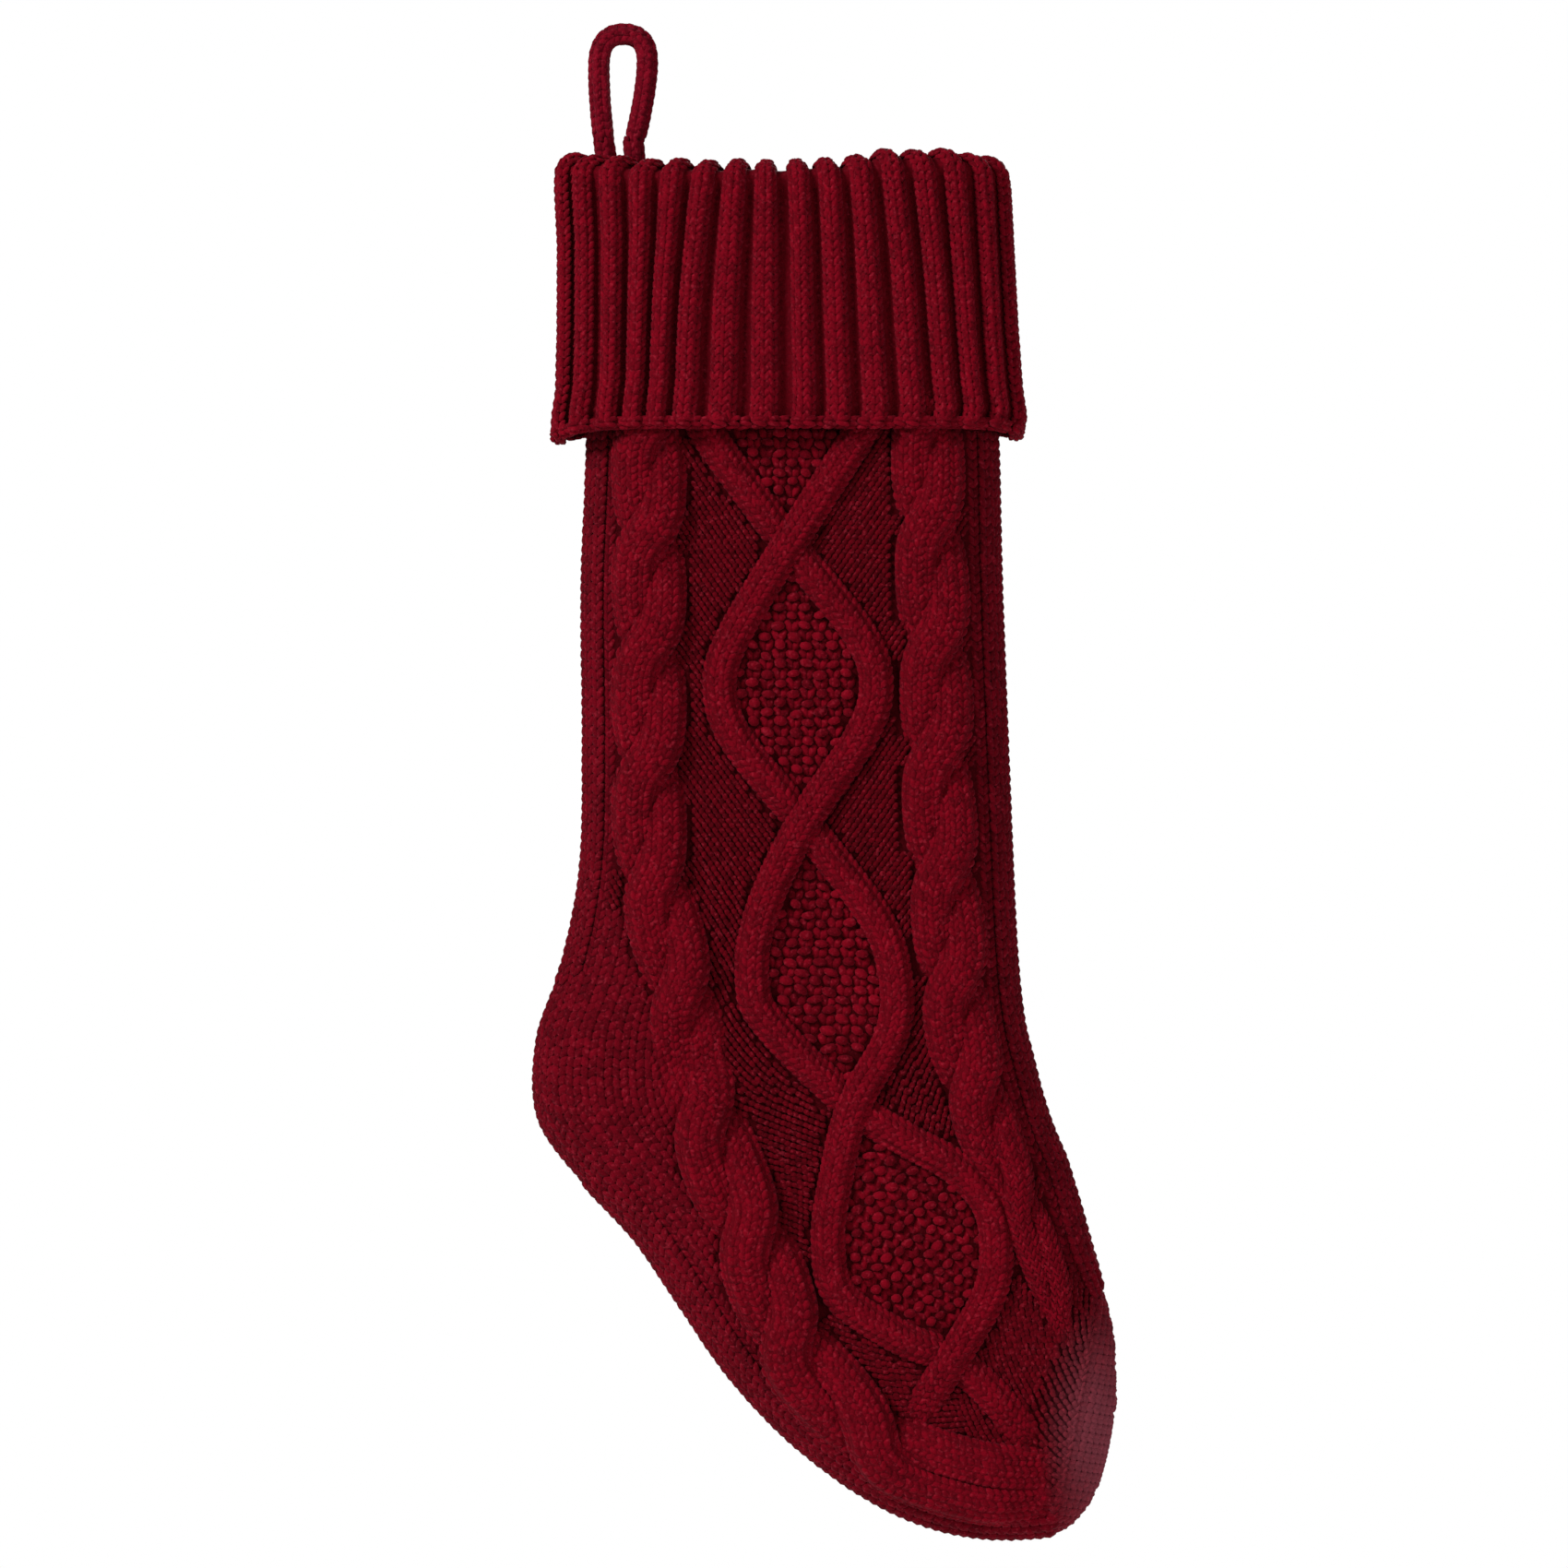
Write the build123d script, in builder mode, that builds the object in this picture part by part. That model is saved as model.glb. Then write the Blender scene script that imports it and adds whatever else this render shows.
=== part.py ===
from build123d import *
import math
import os

# A knitted Christmas stocking that hangs by a cord loop.
# Millimetres, +Z up, front towards -Y, toe towards +X.
# The origin is the point where the loop rests on its hook.

# Knitted fabric
wall = 4.5                 # thickness of the knit in the leg and foot
leg_depth = 34.0           # leg and foot, front to back, lightly filled out
edge_round = 15.0          # rounding of the leg's and foot's long edges
rope_height = 4.0          # how far cables and lattice bands stand off the front
seam_size = 2.5            # seam allowance inside the side edges

# Leg and foot
fold_z = -38.3             # folded top edge of the cuff, below the hook point
leg_back = -12.0           # back edge of the leg
leg_width = 137.0          # back edge to instep edge
heel_drop = 306.0          # folded edge down to the widest point of the heel
heel_bulge = 17.0          # how far the heel stands behind the leg
foot_length = 192.5        # back of the heel to the tip of the toe
foot_drop = 153.5          # widest point of the heel down to the underside of the toe
mouth_flare = 2.6          # how far the leg's back edge leans out towards the mouth
instep_lean = 5.0          # how far the instep edge leans in towards the mouth
heel_radius = 36.0         # edge of the heel cup, from the heel's own centre
toe_cap_length = 19.0      # toe cap, measured back from the tip
toe_cap_rise = 66.0        # toe cap, measured up from the underside of the toe

# Turned-down cuff
cuff_height = 89.0
cuff_ease = 13.0           # how much wider than the leg the cuff is, at the fold
cuff_back_flare = 1.2      # how much further back the hem stands
cuff_front_flare = 7.3     # how much further forward the hem stands
cuff_wall = 6.0            # ribbed knit, from gutter back to rib crest
cuff_gap = 0.5             # between the cuff and what it hangs over
cuff_corner = 20.0
cuff_overhang = 10.4       # cuff's back edge behind the leg's back edge, at the fold
fold_roll = 5.0            # height of the rolled fold
hem_height = 6.0
hem_proud = 1.2
mouth_lap = 2.0            # how far above the hem the ribbed mouth ends
rib_pitch = 10.7
gutter_width = 3.4
gutter_depth = 2.4
cuff_seam_width = 2.4
cuff_seam_offset = 17.0    # seam from the cuff's back edge
cuff_seam_bed = 1.5        # knit left behind the sunk seam

# Hanging loop
cord_diameter = 7.5
pivot_rise = 6.0           # where the loop bends, above the fold
pivot_gap = 0.3            # between the bending loop and its sewn tails
loop_back_foot = -6.2      # where the loop's two ends come out of the mouth
loop_front_foot = 3.6
loop_bow = 8.2             # half the loop's width where it bows out
loop_back_bow = -15.0      # height of the widest point, back and front
loop_front_bow = -12.0
tail_back_lean = 2.9       # how far each tail leans forward on its way down
tail_front_lean = 1.8
tail_length = 40.0
tack_height = 6.0
tack_width = 21.0
tack_drop = 36.0           # underside of the tack, below the loop's feet

# Raised ropes of stitches
cable_strand = 12.0        # width of one strand
cable_swing = 6.6          # strand centre from cable centre between crossings
cable_repeat = 39.5        # one crossing to the next
lattice_band = 10.0
foot_cable_strand = 10.0
foot_cable_swing = 5.6
seed_height = 1.8
seed_tip = 13.0            # from a crossing to the tip of the fill
seed_clear = 1.2           # between the fill and the bands

# Levels that follow from the sizes above
hem_z = fold_z - cuff_height
leg_front = leg_back + leg_width
heel_x = leg_back - heel_bulge
heel_z = fold_z - heel_drop
toe_x = heel_x + foot_length
toe_z = heel_z - foot_drop
pivot_z = fold_z + pivot_rise
half_depth = leg_depth / 2
cord_radius = cord_diameter / 2
cuff_back = leg_back - cuff_overhang
cuff_width = leg_width + cuff_ease
cuff_depth = leg_depth + 2 * (rope_height + cuff_gap + cuff_wall)
big = 400.0                # larger than any piece, for cutting blocks

os.makedirs("parts", exist_ok=True)


def save(part, name):
    part.label = name
    export_step(part, f"parts/{name}.step")
    print(f"{name}: {part.volume:.0f} mm3, {len(part.solids())} solid(s)")


# Leg and foot seen from the side, as corners (x, z) with the radius that rounds each:
# from the mouth down the back, round the heel, along the sole, round the toe and up
# the instep. The first and last corners stand above the mouth and are cut away.
outline = [
    (leg_back - mouth_flare, fold_z + 20, 0),
    (leg_back, heel_z + 60, 80),
    (heel_x - 5.5, heel_z - 4, 27),
    (heel_x + 43, heel_z - 63, 160),
    (heel_x + 81, heel_z - 118, 90),
    (toe_x - 55, toe_z - 0.6, 60),
    (toe_x - 3, toe_z - 0.6, 33),
    (toe_x + 1, toe_z + 46, 60),
    (toe_x - 5, toe_z + 93, 120),
    (leg_front + 9, heel_z + 26, 150),
    (leg_front, heel_z + 130, 300),
    (leg_front - instep_lean, fold_z + 20, 0),
]


def stocking_form(inset):
    # The whole leg and foot as one rounded form, drawn in from the outer face by inset.
    with BuildPart() as form:
        with BuildSketch(Plane.XZ):
            with BuildLine():
                corners = [(x, z) for x, z, radius in outline]
                radii = [radius for x, z, radius in outline[1:-1]]
                side = FilletPolyline(*corners, radius=radii)
                Line(side @ 1, side @ 0)
            make_face()
            if inset > 0:
                offset(amount=-inset)
        extrude(amount=half_depth - inset, both=True)
        top = form.part.bounding_box().max.Z
        rims = form.faces().filter_by(Plane.XZ).edges()
        fillet(rims.filter_by(lambda e: e.center().Z < top - 1), radius=edge_round - inset)
    return form.part


def block(x_min, x_max, y_min, y_max, z_min, z_max):
    # A cutting block given by its corners.
    with BuildPart() as cutter:
        with BuildSketch(Plane.XY.offset(z_min)):
            with Locations(((x_min + x_max) / 2, (y_min + y_max) / 2)):
                Rectangle(x_max - x_min, y_max - y_min)
        extrude(amount=z_max - z_min)
    return cutter.part


def heel_region():
    with BuildPart() as region:
        with BuildSketch(Plane.XZ):
            with Locations((heel_x + 24, heel_z)):
                Circle(heel_radius)
        extrude(amount=leg_depth, both=True)
    return region.part


fabric_outer = stocking_form(0)
fabric_inner = stocking_form(wall)
seam_inner = stocking_form(wall + seam_size)

heel_block = heel_region()
toe_block = block(toe_x - toe_cap_length, big, -big, big, -2 * big, toe_z + toe_cap_rise)
below_cuff = hem_z + mouth_lap
mouth_block = block(-big, big, -big, big, below_cuff, fold_z - fold_roll)
leg_block = block(-big, big, -big, big, -2 * big, below_cuff)
front_block = block(-big, big, -big, 0, -2 * big, big)
back_block = block(-big, big, 0, big, -2 * big, big)

with BuildPart() as fabric:
    add(fabric_outer)
    add(fabric_inner, mode=Mode.SUBTRACT)

# Front of the leg and foot
with BuildPart() as front_panel:
    add(fabric.part)
    add(leg_block, mode=Mode.INTERSECT)
    add(front_block, mode=Mode.INTERSECT)
    add(heel_block, mode=Mode.SUBTRACT)
    add(toe_block, mode=Mode.SUBTRACT)
save(front_panel.part, "front_panel")

# Back of the leg and foot
with BuildPart() as back_panel:
    add(fabric.part)
    add(leg_block, mode=Mode.INTERSECT)
    add(back_block, mode=Mode.INTERSECT)
    add(heel_block, mode=Mode.SUBTRACT)
    add(toe_block, mode=Mode.SUBTRACT)
save(back_panel.part, "back_panel")

# Turned heel, a cup that takes in both faces
with BuildPart() as heel_cup:
    add(fabric.part)
    add(heel_block, mode=Mode.INTERSECT)
save(heel_cup.part, "heel_cup")

# Toe cap, closed at the tip
with BuildPart() as toe_cap:
    add(fabric.part)
    add(toe_block, mode=Mode.INTERSECT)
save(toe_cap.part, "toe_cap")

# Ribbed mouth, the layer of the rib that stays inside the cuff
with BuildPart() as mouth_rib:
    add(fabric.part)
    add(mouth_block, mode=Mode.INTERSECT)
save(mouth_rib.part, "mouth_rib")


# Seam allowance, sewn along the edges inside. The two side seams run down the back
# and sole and down the instep, and the third one closes the toe cap on.
with BuildPart() as instep_side:
    with BuildSketch(Plane.XZ):
        with BuildLine():
            Polyline(
                (leg_back + leg_width / 2, fold_z),
                (leg_back + leg_width / 2, heel_z),
                (toe_x - 45, toe_z + 45),
                (toe_x + 45, toe_z + 45),
                (toe_x + 45, fold_z),
                close=True,
            )
        make_face()
    extrude(amount=leg_depth, both=True)

with BuildPart() as allowance:
    add(fabric_inner)
    add(seam_inner, mode=Mode.SUBTRACT)

seam_top = pivot_z - tail_length - cord_diameter / 2    # clear of the loop's tails
side_line = block(-big, big, -seam_size / 2, seam_size / 2, -2 * big, seam_top)
toe_line = toe_x - toe_cap_length
toe_band = block(toe_line - seam_size, toe_line, -big, big, -2 * big, toe_z + toe_cap_rise)

with BuildPart() as back_seam:
    add(allowance.part)
    add(side_line, mode=Mode.INTERSECT)
    add(instep_side.part, mode=Mode.SUBTRACT)
    add(toe_band, mode=Mode.SUBTRACT)
    add(toe_block, mode=Mode.SUBTRACT)
save(back_seam.part, "back_seam")

with BuildPart() as instep_seam:
    add(allowance.part)
    add(side_line, mode=Mode.INTERSECT)
    add(instep_side.part, mode=Mode.INTERSECT)
    add(toe_band, mode=Mode.SUBTRACT)
    add(toe_block, mode=Mode.SUBTRACT)
save(instep_seam.part, "instep_seam")

with BuildPart() as toe_seam:
    add(allowance.part)
    add(toe_band, mode=Mode.INTERSECT)
save(toe_seam.part, "toe_seam")


# Turned-down cuff, a ribbed ring that hangs from the fold, wider at the hem
def cuff_form(inset, proud=0.0):
    # The space inside the cuff's outer face, drawn in by inset or out by proud.
    grow = 2 * (proud - inset)
    centre = cuff_back + cuff_width / 2
    shift = (cuff_front_flare - cuff_back_flare) / 2
    width_hem = cuff_width + cuff_back_flare + cuff_front_flare
    corner = cuff_corner + proud - inset
    with BuildPart() as form:
        with BuildSketch(Plane.XY.offset(hem_z)):
            with Locations((centre + shift, 0)):
                RectangleRounded(width_hem + grow, cuff_depth + grow, corner)
        with BuildSketch(Plane.XY.offset(fold_z)):
            with Locations((centre, 0)):
                RectangleRounded(cuff_width + grow, cuff_depth + grow, corner)
        loft()
    return form.part


cuff_outer = cuff_form(0)
cuff_inner = cuff_form(cuff_wall)
hem_top = hem_z + hem_height
rib_count = round(cuff_width / rib_pitch)
outer_face = cuff_depth / 2


def cuff_slot(along, width, depth, face):
    # A strip down the cuff, along being its place at the fold, measured from the back.
    flare = (cuff_width + cuff_back_flare + cuff_front_flare) / cuff_width
    x_fold = cuff_back + along
    x_hem = cuff_back - cuff_back_flare + along * flare
    with BuildPart() as slot:
        with BuildSketch(Plane.XZ.offset(face - depth)):
            with BuildLine():
                Polyline(
                    (x_fold - width / 2, fold_z - fold_roll),
                    (x_fold + width / 2, fold_z - fold_roll),
                    (x_hem + width / 2, hem_top),
                    (x_hem - width / 2, hem_top),
                    close=True,
                )
            make_face()
        extrude(amount=depth)
    return slot.part


seam_channel_depth = cuff_wall - cuff_seam_bed
seam_channel = cuff_slot(cuff_seam_offset, gutter_width, seam_channel_depth, outer_face)

with BuildPart() as cuff_rib:
    add(cuff_outer)
    add(cuff_inner, mode=Mode.SUBTRACT)
    add(block(-big, big, -big, big, hem_top, fold_z - fold_roll), mode=Mode.INTERSECT)
    for rib in range(1, rib_count):
        if rib != round(cuff_seam_offset / rib_pitch):
            gutter = cuff_slot(rib * cuff_width / rib_count, gutter_width, gutter_depth, outer_face)
            add(gutter, mode=Mode.SUBTRACT)
            add(mirror(gutter, about=Plane.XZ, mode=Mode.PRIVATE), mode=Mode.SUBTRACT)
    add(seam_channel, mode=Mode.SUBTRACT)
save(cuff_rib.part, "cuff_rib")

# Seam that closes the ribbing into a ring, sunk between two ribs
seam_face = outer_face - cuff_wall / 2
with BuildPart() as cuff_seam:
    add(cuff_slot(cuff_seam_offset, cuff_seam_width, cuff_wall / 2 - cuff_seam_bed, seam_face))
save(cuff_seam.part, "cuff_seam")

# Bound-off hem
with BuildPart() as cuff_hem:
    add(cuff_form(0, hem_proud))
    add(cuff_inner, mode=Mode.SUBTRACT)
    add(block(-big, big, -big, big, hem_z, hem_top), mode=Mode.INTERSECT)
save(cuff_hem.part, "cuff_hem")

# Rolled fold that joins the cuff to the mouth
with BuildPart() as cuff_fold:
    add(cuff_outer)
    add(block(-big, big, -big, big, fold_z - fold_roll, fold_z), mode=Mode.INTERSECT)
    fillet(cuff_fold.faces().sort_by(Axis.Z)[-1].edges(), radius=fold_roll - 0.5)
    add(fabric_inner, mode=Mode.SUBTRACT)
save(cuff_fold.part, "cuff_fold")


# Hanging loop, a knitted cord whose two ends are sewn inside the back of the mouth
def cord_path(points):
    # Straight runs joined by arcs as large as the two runs beside each corner allow.
    radii = []
    for before, corner, after in zip(points, points[1:], points[2:]):
        run_in = Vector(*corner) - Vector(*before)
        run_out = Vector(*after) - Vector(*corner)
        half_turn = Vector(run_in).get_angle(run_out) / 2
        shorter = min(run_in.length, run_out.length)
        radii.append(0.45 * shorter / math.tan(math.radians(half_turn)))
    print("cord radii", [round(radius, 1) for radius in radii])
    return FilletPolyline(*points, radius=radii)


def cord_tube(points):
    with BuildPart() as tube:
        with BuildLine() as line:
            path = cord_path(points)
        with BuildSketch(Plane(origin=path @ 0, z_dir=path % 0)):
            Circle(cord_radius)
        sweep(path=line.line)
    section = math.pi * cord_radius ** 2
    print(f"cord {path.length:.1f} mm, section times length {section * path.length:.0f} mm3")
    return tube.part


back_foot = Vector(loop_back_foot, 0, pivot_z)
front_foot = Vector(loop_front_foot, 0, pivot_z)
back_bow = Vector(-loop_bow, 0, loop_back_bow)
front_bow = Vector(loop_bow + 0.1, 0, loop_front_bow)
reach = cord_radius + pivot_gap
loop_start = back_foot + (back_bow - back_foot).normalized() * reach
loop_end = front_foot + (front_bow - front_foot).normalized() * reach
back_crown = Vector(-loop_bow + 0.3, 0, cord_radius)
front_crown = Vector(loop_bow - 0.2, 0, cord_radius)
loop_route = [loop_start, back_bow, back_crown, front_crown, front_bow, loop_end]

hanging_loop = cord_tube([tuple(point) for point in loop_route])
save(hanging_loop, "hanging_loop")


def loop_tail(x, lean):
    # A rounded end where the loop bends, then the tail that is sewn to the back.
    route = [
        (x, 0, pivot_z),
        (x + lean / 2, 1.5, pivot_z - 11),
        (x + lean, 4, pivot_z - 22),
        (x + lean, 4.3, pivot_z - tail_length),
    ]
    with BuildPart() as tail:
        add(cord_tube(route))
        with Locations((x, 0, pivot_z)):
            Sphere(cord_radius)
    return tail.part


save(loop_tail(loop_back_foot, tail_back_lean), "loop_tail_back")
save(loop_tail(loop_front_foot, tail_front_lean), "loop_tail_front")

# Tack that holds both tails to the back of the mouth
tack_z = pivot_z - tack_drop
tack_middle = (loop_back_foot + loop_front_foot) / 2 + tail_front_lean
tack_back = tack_middle - tack_width / 2
tack_face = cord_radius + 3.45
with BuildPart() as loop_tack:
    add(block(tack_back, tack_back + tack_width, tack_face, half_depth,
              tack_z, tack_z + tack_height))
    add(fabric_inner, mode=Mode.INTERSECT)
save(loop_tack.part, "loop_tack")


# Raised ropes of stitches on the front. A rope is a list of stations down its length:
# a crossing is (x, z), and between crossings (x, z, dx, dz) says how far each strand
# stands to its own side of the rope's centre. The strands change sides at a crossing.
front_plane = Plane.XZ.offset(half_depth)


def strand_form(stations, side, width):
    points = []
    for x, z, *swing in stations:
        if swing:
            points.append((x + side * swing[0], z + side * swing[1]))
        else:
            points.append((x, z))
            side = -side
    with BuildPart() as form:
        with BuildSketch(front_plane):
            with BuildLine():
                Spline(*points)
            trace(line_width=width)
        extrude(amount=rope_height)
    return form.part


def crossing_blocks(stations, zone, first):
    # Blocks over every other crossing, starting with the given one: upper and lower half.
    crossings = [(station[0], station[1]) for station in stations if len(station) == 2]
    halves = []
    for start in (0.5, 0.0):
        with BuildPart() as half:
            with BuildSketch(front_plane.offset(start * rope_height)):
                with Locations(*crossings[first::2]):
                    Circle(zone)
            extrude(amount=rope_height / 2)
        halves.append(half.part)
    return halves


def make_rope(stations, width, zone, name):
    # Two strands that pass over each other by turns, each half its height at a crossing.
    strands = [strand_form(stations, side, width) for side in (1, -1)]
    for index, letter in enumerate("ab"):
        other = strands[1 - index]
        upper = crossing_blocks(stations, zone, 1 - index)[0]
        lower = crossing_blocks(stations, zone, index)[1]
        with BuildPart() as under:
            add(other)
            add(upper, mode=Mode.INTERSECT)
        with BuildPart() as over:
            add(other)
            add(lower, mode=Mode.INTERSECT)
        with BuildPart() as strand:
            add(strands[index])
            add(under.part, mode=Mode.SUBTRACT)
            add(over.part, mode=Mode.SUBTRACT)
        save(strand.part, f"{name}_{letter}")


def cable_stations(centres, swing):
    # Crossings at the given centres, with each strand swung out midway between them.
    stations = []
    for (x0, z0), (x1, z1) in zip(centres, centres[1:]):
        run = Vector(x1 - x0, z1 - z0)
        across = Vector(-run.Y, run.X).normalized() * swing
        stations += [(x0, z0), ((x0 + x1) / 2, (z0 + z1) / 2, across.X, across.Y)]
    return stations


rope_top = hem_z + mouth_lap + 1.0     # the ropes start under the hem
first_crossing = hem_z - 35
back_x = leg_back + 20
front_x = leg_front - 22.5
back_centres = [(back_x, first_crossing - step * cable_repeat) for step in range(4)]
back_centres += [(back_x + 6, first_crossing - 4 * cable_repeat)]
front_centres = [(front_x, first_crossing - step * cable_repeat) for step in range(3)]
front_centres += [(front_x + 2, first_crossing - 3 * cable_repeat)]
front_centres += [(front_x + 9, first_crossing - 4 * cable_repeat)]
front_centres += [(front_x + 18, first_crossing - 4.75 * cable_repeat)]
foot_centres = [
    (heel_x + 53, heel_z - 14),
    (heel_x + 68, heel_z - 50),
    (heel_x + 88, heel_z - 86),
    (heel_x + 116, heel_z - 118),
]

cable_zone = cable_repeat / 2 - 1
back_cable = [(back_x, rope_top, cable_swing, 0)] + cable_stations(back_centres, cable_swing)
front_cable = [(front_x, rope_top, cable_swing, 0)] + cable_stations(front_centres, cable_swing)
foot_cable = cable_stations(foot_centres, foot_cable_swing)
make_rope(back_cable, cable_strand, cable_zone, "back_cable")
make_rope(front_cable, cable_strand, cable_zone, "front_cable")
make_rope(foot_cable, foot_cable_strand, cable_zone, "foot_cable")

# Diamond lattice: two bands that weave down the middle of the leg and over the foot
lattice = [
    (leg_back + 66, rope_top, 27, 0),
    (leg_back + 67.4, hem_z - 39),
    (leg_back + 70.5, hem_z - 86, 27, 0),
    (leg_back + 72.3, hem_z - 131.5),
    (leg_back + 77.5, hem_z - 185, 24, 0),
    (leg_back + 89.8, hem_z - 226),
    (heel_x + 127, heel_z - 57, 28, 3),
    (heel_x + 141, heel_z - 94, 3, 1),
]
make_rope(lattice, lattice_band, 2 * lattice_band, "lattice_band")


# Seed stitch that fills each diamond, clear of the bands around it
def towards(start, end, distance):
    return start + (end - start).normalized() * distance


def make_seed(first, middle, last, name):
    centre = Vector(middle[0], middle[1])
    swing = Vector(middle[2], middle[3])
    side = swing.normalized() * (swing.length - lattice_band / 2 - seed_clear)
    top = towards(Vector(first[0], first[1]), centre, seed_tip)
    bottom = towards(Vector(last[0], last[1]), centre, seed_tip)
    with BuildPart() as fill:
        with BuildSketch(front_plane):
            with BuildLine():
                Polyline(top, centre + side, bottom, centre - side, close=True)
            make_face()
        extrude(amount=seed_height)
    save(fill.part, name)


# The top diamond is cut off by the hem, so its fill is the lower half of one.
top_x = lattice[0][0]
half_top = lattice[0][2] - lattice_band / 2 - 2 * seed_clear
top_tip = towards(Vector(*lattice[1]), Vector(top_x, rope_top), seed_tip)
with BuildPart() as seed_top:
    with BuildSketch(front_plane):
        with BuildLine():
            Polyline(
                (top_x - half_top, rope_top),
                (top_x + half_top, rope_top),
                (top_tip.X, top_tip.Y),
                close=True,
            )
        make_face()
    extrude(amount=seed_height)
save(seed_top.part, "seed_fill_top")

make_seed(lattice[1], lattice[2], lattice[3], "seed_fill_leg")
make_seed(lattice[3], lattice[4], lattice[5], "seed_fill_ankle")
make_seed(lattice[5], lattice[6], lattice[7], "seed_fill_foot")
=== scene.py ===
import bpy
import math
import numpy as np
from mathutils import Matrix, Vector


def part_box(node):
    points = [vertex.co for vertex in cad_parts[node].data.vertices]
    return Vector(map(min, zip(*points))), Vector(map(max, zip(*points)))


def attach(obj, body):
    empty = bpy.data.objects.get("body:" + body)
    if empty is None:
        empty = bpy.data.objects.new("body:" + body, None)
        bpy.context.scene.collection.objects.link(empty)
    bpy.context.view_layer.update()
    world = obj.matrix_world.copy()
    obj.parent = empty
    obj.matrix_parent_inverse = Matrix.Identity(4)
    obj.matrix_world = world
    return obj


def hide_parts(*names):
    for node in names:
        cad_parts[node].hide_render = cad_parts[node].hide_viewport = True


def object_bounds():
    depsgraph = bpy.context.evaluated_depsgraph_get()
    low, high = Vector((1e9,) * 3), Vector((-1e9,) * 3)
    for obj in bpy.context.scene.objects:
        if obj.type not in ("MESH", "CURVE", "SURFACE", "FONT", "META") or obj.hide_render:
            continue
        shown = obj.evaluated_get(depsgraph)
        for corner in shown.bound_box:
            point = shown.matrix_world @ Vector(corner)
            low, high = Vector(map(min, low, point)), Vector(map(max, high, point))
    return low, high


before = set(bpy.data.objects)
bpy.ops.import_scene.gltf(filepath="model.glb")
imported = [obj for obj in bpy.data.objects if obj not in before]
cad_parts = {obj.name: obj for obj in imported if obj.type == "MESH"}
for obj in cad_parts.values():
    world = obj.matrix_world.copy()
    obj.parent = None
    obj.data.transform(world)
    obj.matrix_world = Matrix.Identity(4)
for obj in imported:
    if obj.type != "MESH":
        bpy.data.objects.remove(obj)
cadLow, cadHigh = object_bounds()
print("frame loaded, box", [round(v, 4) for v in (*cadLow, *cadHigh)])

scene = bpy.context.scene
mm = 0.001
dice = np.random.default_rng(11)      # one seeded source for every small irregularity

# what the yarn itself is like; sizes in millimetres unless a name says otherwise
yarn = {
    "waleWidth": 4.3,        # one column of stitches
    "rowHeight": 3.2,        # one row
    "ropeRow": 2.6,          # one row on the cables and the lattice
    "lean": 0.47,            # how far each leg of a stitch leans, radians
    "legLength": 1.62,       # leg of a stitch, in rows
    "legWidth": 0.64,        # leg of a stitch, in wales
    "legThick": 0.40,
    "sink": 0.13,            # how deep a leg sits in the cloth, in wales
    "uneven": 0.07,
}


# vectors, lines and meshes
def unit(v):
    return v / np.maximum(np.linalg.norm(v, axis=-1, keepdims=True), 1e-9)


def selectOnly(*objects):
    # the first object given becomes the active one
    if bpy.context.object and bpy.context.object.mode != "OBJECT":
        bpy.ops.object.mode_set(mode="OBJECT")
    bpy.ops.object.select_all(action="DESELECT")
    for obj in objects:
        obj.select_set(True)
    if objects:
        bpy.context.view_layer.objects.active = objects[0]


def joinInto(obj, other):
    selectOnly(obj, other)
    bpy.ops.object.join()
    obj.select_set(False)
    return obj


def newPiece(name, points, faces, tones):
    # a smooth mesh from points in millimetres, with a tone for every point
    mesh = bpy.data.meshes.new(name)
    mesh.from_pydata((points.reshape(-1, 3) * mm).tolist(), [], faces)
    tone = mesh.attributes.new("tone", "FLOAT", "POINT")
    tone.data.foreach_set("value", tones)
    mesh.shade_smooth()
    mesh.update()
    obj = bpy.data.objects.new(name, mesh)
    scene.collection.objects.link(obj)
    return obj


def cleanMesh(obj, mergeWithin=0.0, fillEnds=False):
    # merges doubles, closes open ends and turns every face outwards
    selectOnly(obj)
    bpy.ops.object.mode_set(mode="EDIT")
    bpy.ops.mesh.select_all(action="SELECT")
    if mergeWithin:
        bpy.ops.mesh.remove_doubles(threshold=mergeWithin * mm)
    if fillEnds:
        bpy.ops.mesh.fill_holes(sides=0)
    bpy.ops.mesh.normals_make_consistent(inside=False)
    bpy.ops.object.mode_set(mode="OBJECT")
    obj.select_set(False)


def thicken(obj, thickness):
    # gives a sheet its thickness, inwards from the face it has
    selectOnly(obj)
    wall = obj.modifiers.new("wall", "SOLIDIFY")
    wall.thickness = thickness * mm
    wall.offset = -1
    bpy.ops.object.modifier_apply(modifier="wall")
    obj.select_set(False)


def smoothLine(points, perSpan):
    # a smooth line through points of any number of columns
    p = np.array(points, float)
    p = np.vstack([2 * p[0] - p[1], p, 2 * p[-1] - p[-2]])
    t = np.linspace(0, 1, perSpan, endpoint=False)[:, None]
    spans = []
    for a, b, c, d in zip(p, p[1:], p[2:], p[3:]):
        spans.append(0.5 * (2 * b + (c - a) * t + (2 * a - 5 * b + 4 * c - d) * t ** 2
                            + (3 * b - a - 3 * c + d) * t ** 3))
    return np.vstack(spans + [p[-2:-1]])


def mmLine(points):
    # a smooth line through points, with a point at every millimetre
    return evenly(smoothLine(points, 12), 1.0)


def lengthAlong(line):
    steps = np.linalg.norm(np.diff(line, axis=0), axis=1)
    return np.concatenate([[0], np.cumsum(steps)])


def atLength(line, along, wanted):
    return np.stack([np.interp(wanted, along, line[:, k]) for k in range(line.shape[1])], 1)


def evenly(line, step):
    along = lengthAlong(line)
    count = max(2, int(round(along[-1] / step)) + 1)
    return atLength(line, along, np.linspace(0, along[-1], count))


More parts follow.
